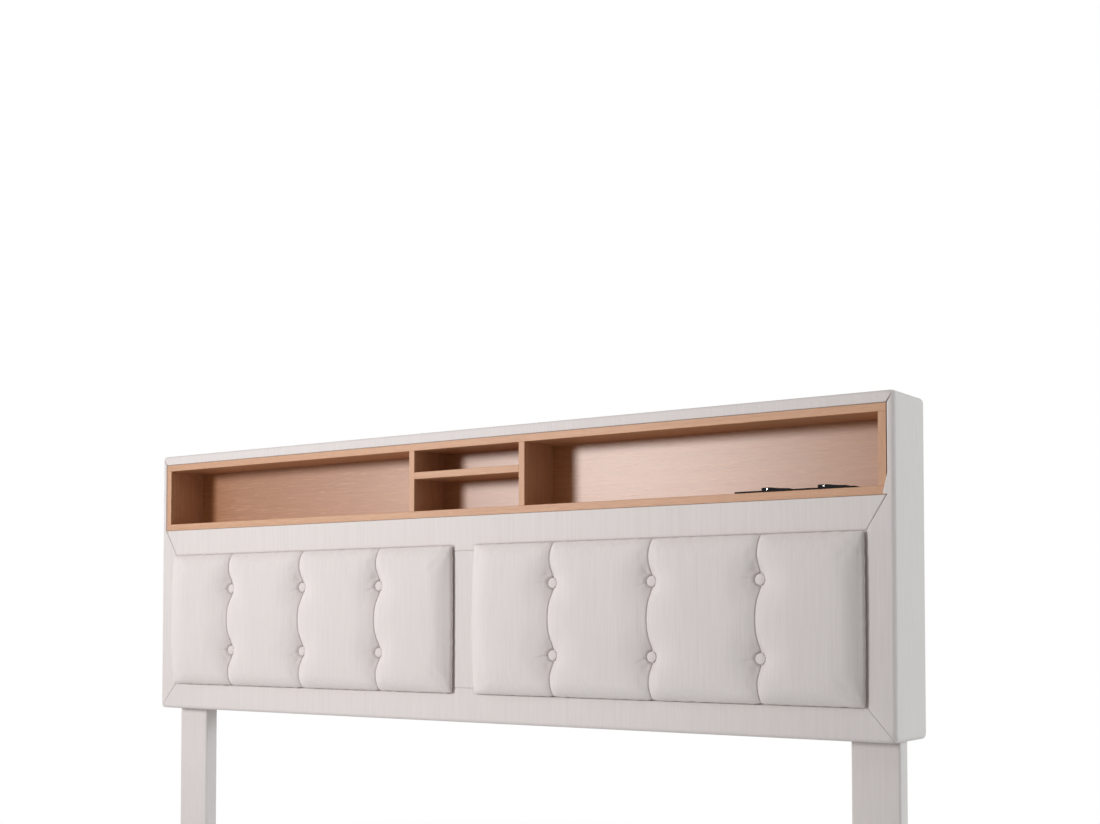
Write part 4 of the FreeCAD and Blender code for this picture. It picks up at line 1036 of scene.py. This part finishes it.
def make_camera():
    data = bpy.data.cameras.new("camera")
    data.sensor_width = CAMERA_SENSOR
    data.lens = CAMERA_LENS
    data.shift_y = CAMERA_SHIFT
    camera = bpy.data.objects.new("camera", data)
    turn, pitch = math.radians(CAMERA_TURN), math.radians(CAMERA_PITCH)
    ahead = Vector((-math.sin(turn) * math.cos(pitch), math.cos(turn) * math.cos(pitch), math.sin(pitch)))
    camera.location = CAMERA_PLACE
    camera.rotation_euler = ahead.to_track_quat("-Z", "Y").to_euler()
    bpy.context.scene.collection.objects.link(camera)
    bpy.context.scene.camera = camera


def aim_light(name, data, place, target):
    light = bpy.data.objects.new(name, data)
    light.location = place
    light.rotation_euler = (Vector(target) - Vector(place)).to_track_quat("-Z", "Y").to_euler()
    bpy.context.scene.collection.objects.link(light)


def make_lights():
    """A soft key from the front left that fades towards the lower right, and lights for other sides."""
    key = bpy.data.lights.new("key", "SPOT")
    key.energy = KEY_POWER
    key.shadow_soft_size = KEY_SOFTNESS
    key.spot_size = math.radians(KEY_CONE)
    key.spot_blend = 1.0
    aim_light("key", key, KEY_PLACE, KEY_TARGET)
    for name, place, target, size, power, colour in AREA_LIGHTS:
        data = bpy.data.lights.new(name, "AREA")
        data.shape = "DISK"
        data.size = size
        data.energy = power
        data.color = colour
        aim_light(name, data, place, target)


def make_world():
    """A dim even light for the object, and white where the camera or a reflection sees the background."""
    world = bpy.data.worlds.new("studio")
    world.use_nodes = True
    bpy.context.scene.world = world
    tree = world.node_tree
    ambient = tree.nodes["Background"]
    ambient.inputs["Color"].default_value = (*AMBIENT_COLOUR, 1)
    ambient.inputs["Strength"].default_value = AMBIENT_STRENGTH
    white = tree.nodes.new("ShaderNodeBackground")
    white.inputs["Color"].default_value = (*WHITE, 1)
    mix = tree.nodes.new("ShaderNodeMixShader")
    path = tree.nodes.new("ShaderNodeLightPath")
    seen = path.outputs["Is Camera Ray"]
    for kind in ("Is Glossy Ray", "Is Transmission Ray"):
        either = tree.nodes.new("ShaderNodeMath")
        either.operation = "MAXIMUM"
        tree.links.new(seen, either.inputs[0])
        tree.links.new(path.outputs[kind], either.inputs[1])
        seen = either.outputs[0]
    tree.links.new(seen, mix.inputs[0])
    tree.links.new(ambient.outputs[0], mix.inputs[1])
    tree.links.new(white.outputs[0], mix.inputs[2])
    tree.links.new(mix.outputs[0], tree.nodes["World Output"].inputs["Surface"])


def make_floor():
    """A pale round floor that lets some of the white background through and fades into it."""
    bpy.ops.mesh.primitive_circle_add(vertices=FLOOR_SIDES, radius=FLOOR_RADIUS, fill_type="NGON")
    floor = bpy.context.object
    floor.name = "floor"
    made = bpy.data.materials.new("floor")
    made.use_nodes = True
    tree = made.node_tree
    shader = tree.nodes["Principled BSDF"]
    shader.inputs["Base Color"].default_value = (*FLOOR_COLOUR, 1)
    shader.inputs["Roughness"].default_value = FLOOR_ROUGHNESS
    clear = tree.nodes.new("ShaderNodeBsdfTransparent")
    mix = tree.nodes.new("ShaderNodeMixShader")
    coordinates = tree.nodes.new("ShaderNodeTexCoord")
    distance = tree.nodes.new("ShaderNodeVectorMath")
    distance.operation = "LENGTH"
    fade = tree.nodes.new("ShaderNodeMapRange")
    fade.interpolation_type = "SMOOTHSTEP"
    fade.inputs["From Min"].default_value = FADE_START
    fade.inputs["From Max"].default_value = FADE_END
    fade.inputs["To Min"].default_value = FLOOR_CLEAR
    tree.links.new(coordinates.outputs["Object"], distance.inputs[0])
    tree.links.new(distance.outputs["Value"], fade.inputs["Value"])
    tree.links.new(fade.outputs["Result"], mix.inputs[0])
    tree.links.new(shader.outputs[0], mix.inputs[1])
    tree.links.new(clear.outputs[0], mix.inputs[2])
    tree.links.new(mix.outputs[0], tree.nodes["Material Output"].inputs["Surface"])
    floor.data.materials.append(made)


dress_cad_nodes()
make_wrapped_covers()
make_flat_covers()
for number, side in enumerate(SIDES):
    make_cushion(side, seed=FIRST_SEED + number)
    make_buttons(side)
    make_leg_fabric(side)
make_back_cloth()
make_staples()
make_camera()
make_lights()
make_world()
make_floor()
bpy.context.scene.view_settings.view_transform = "Standard"
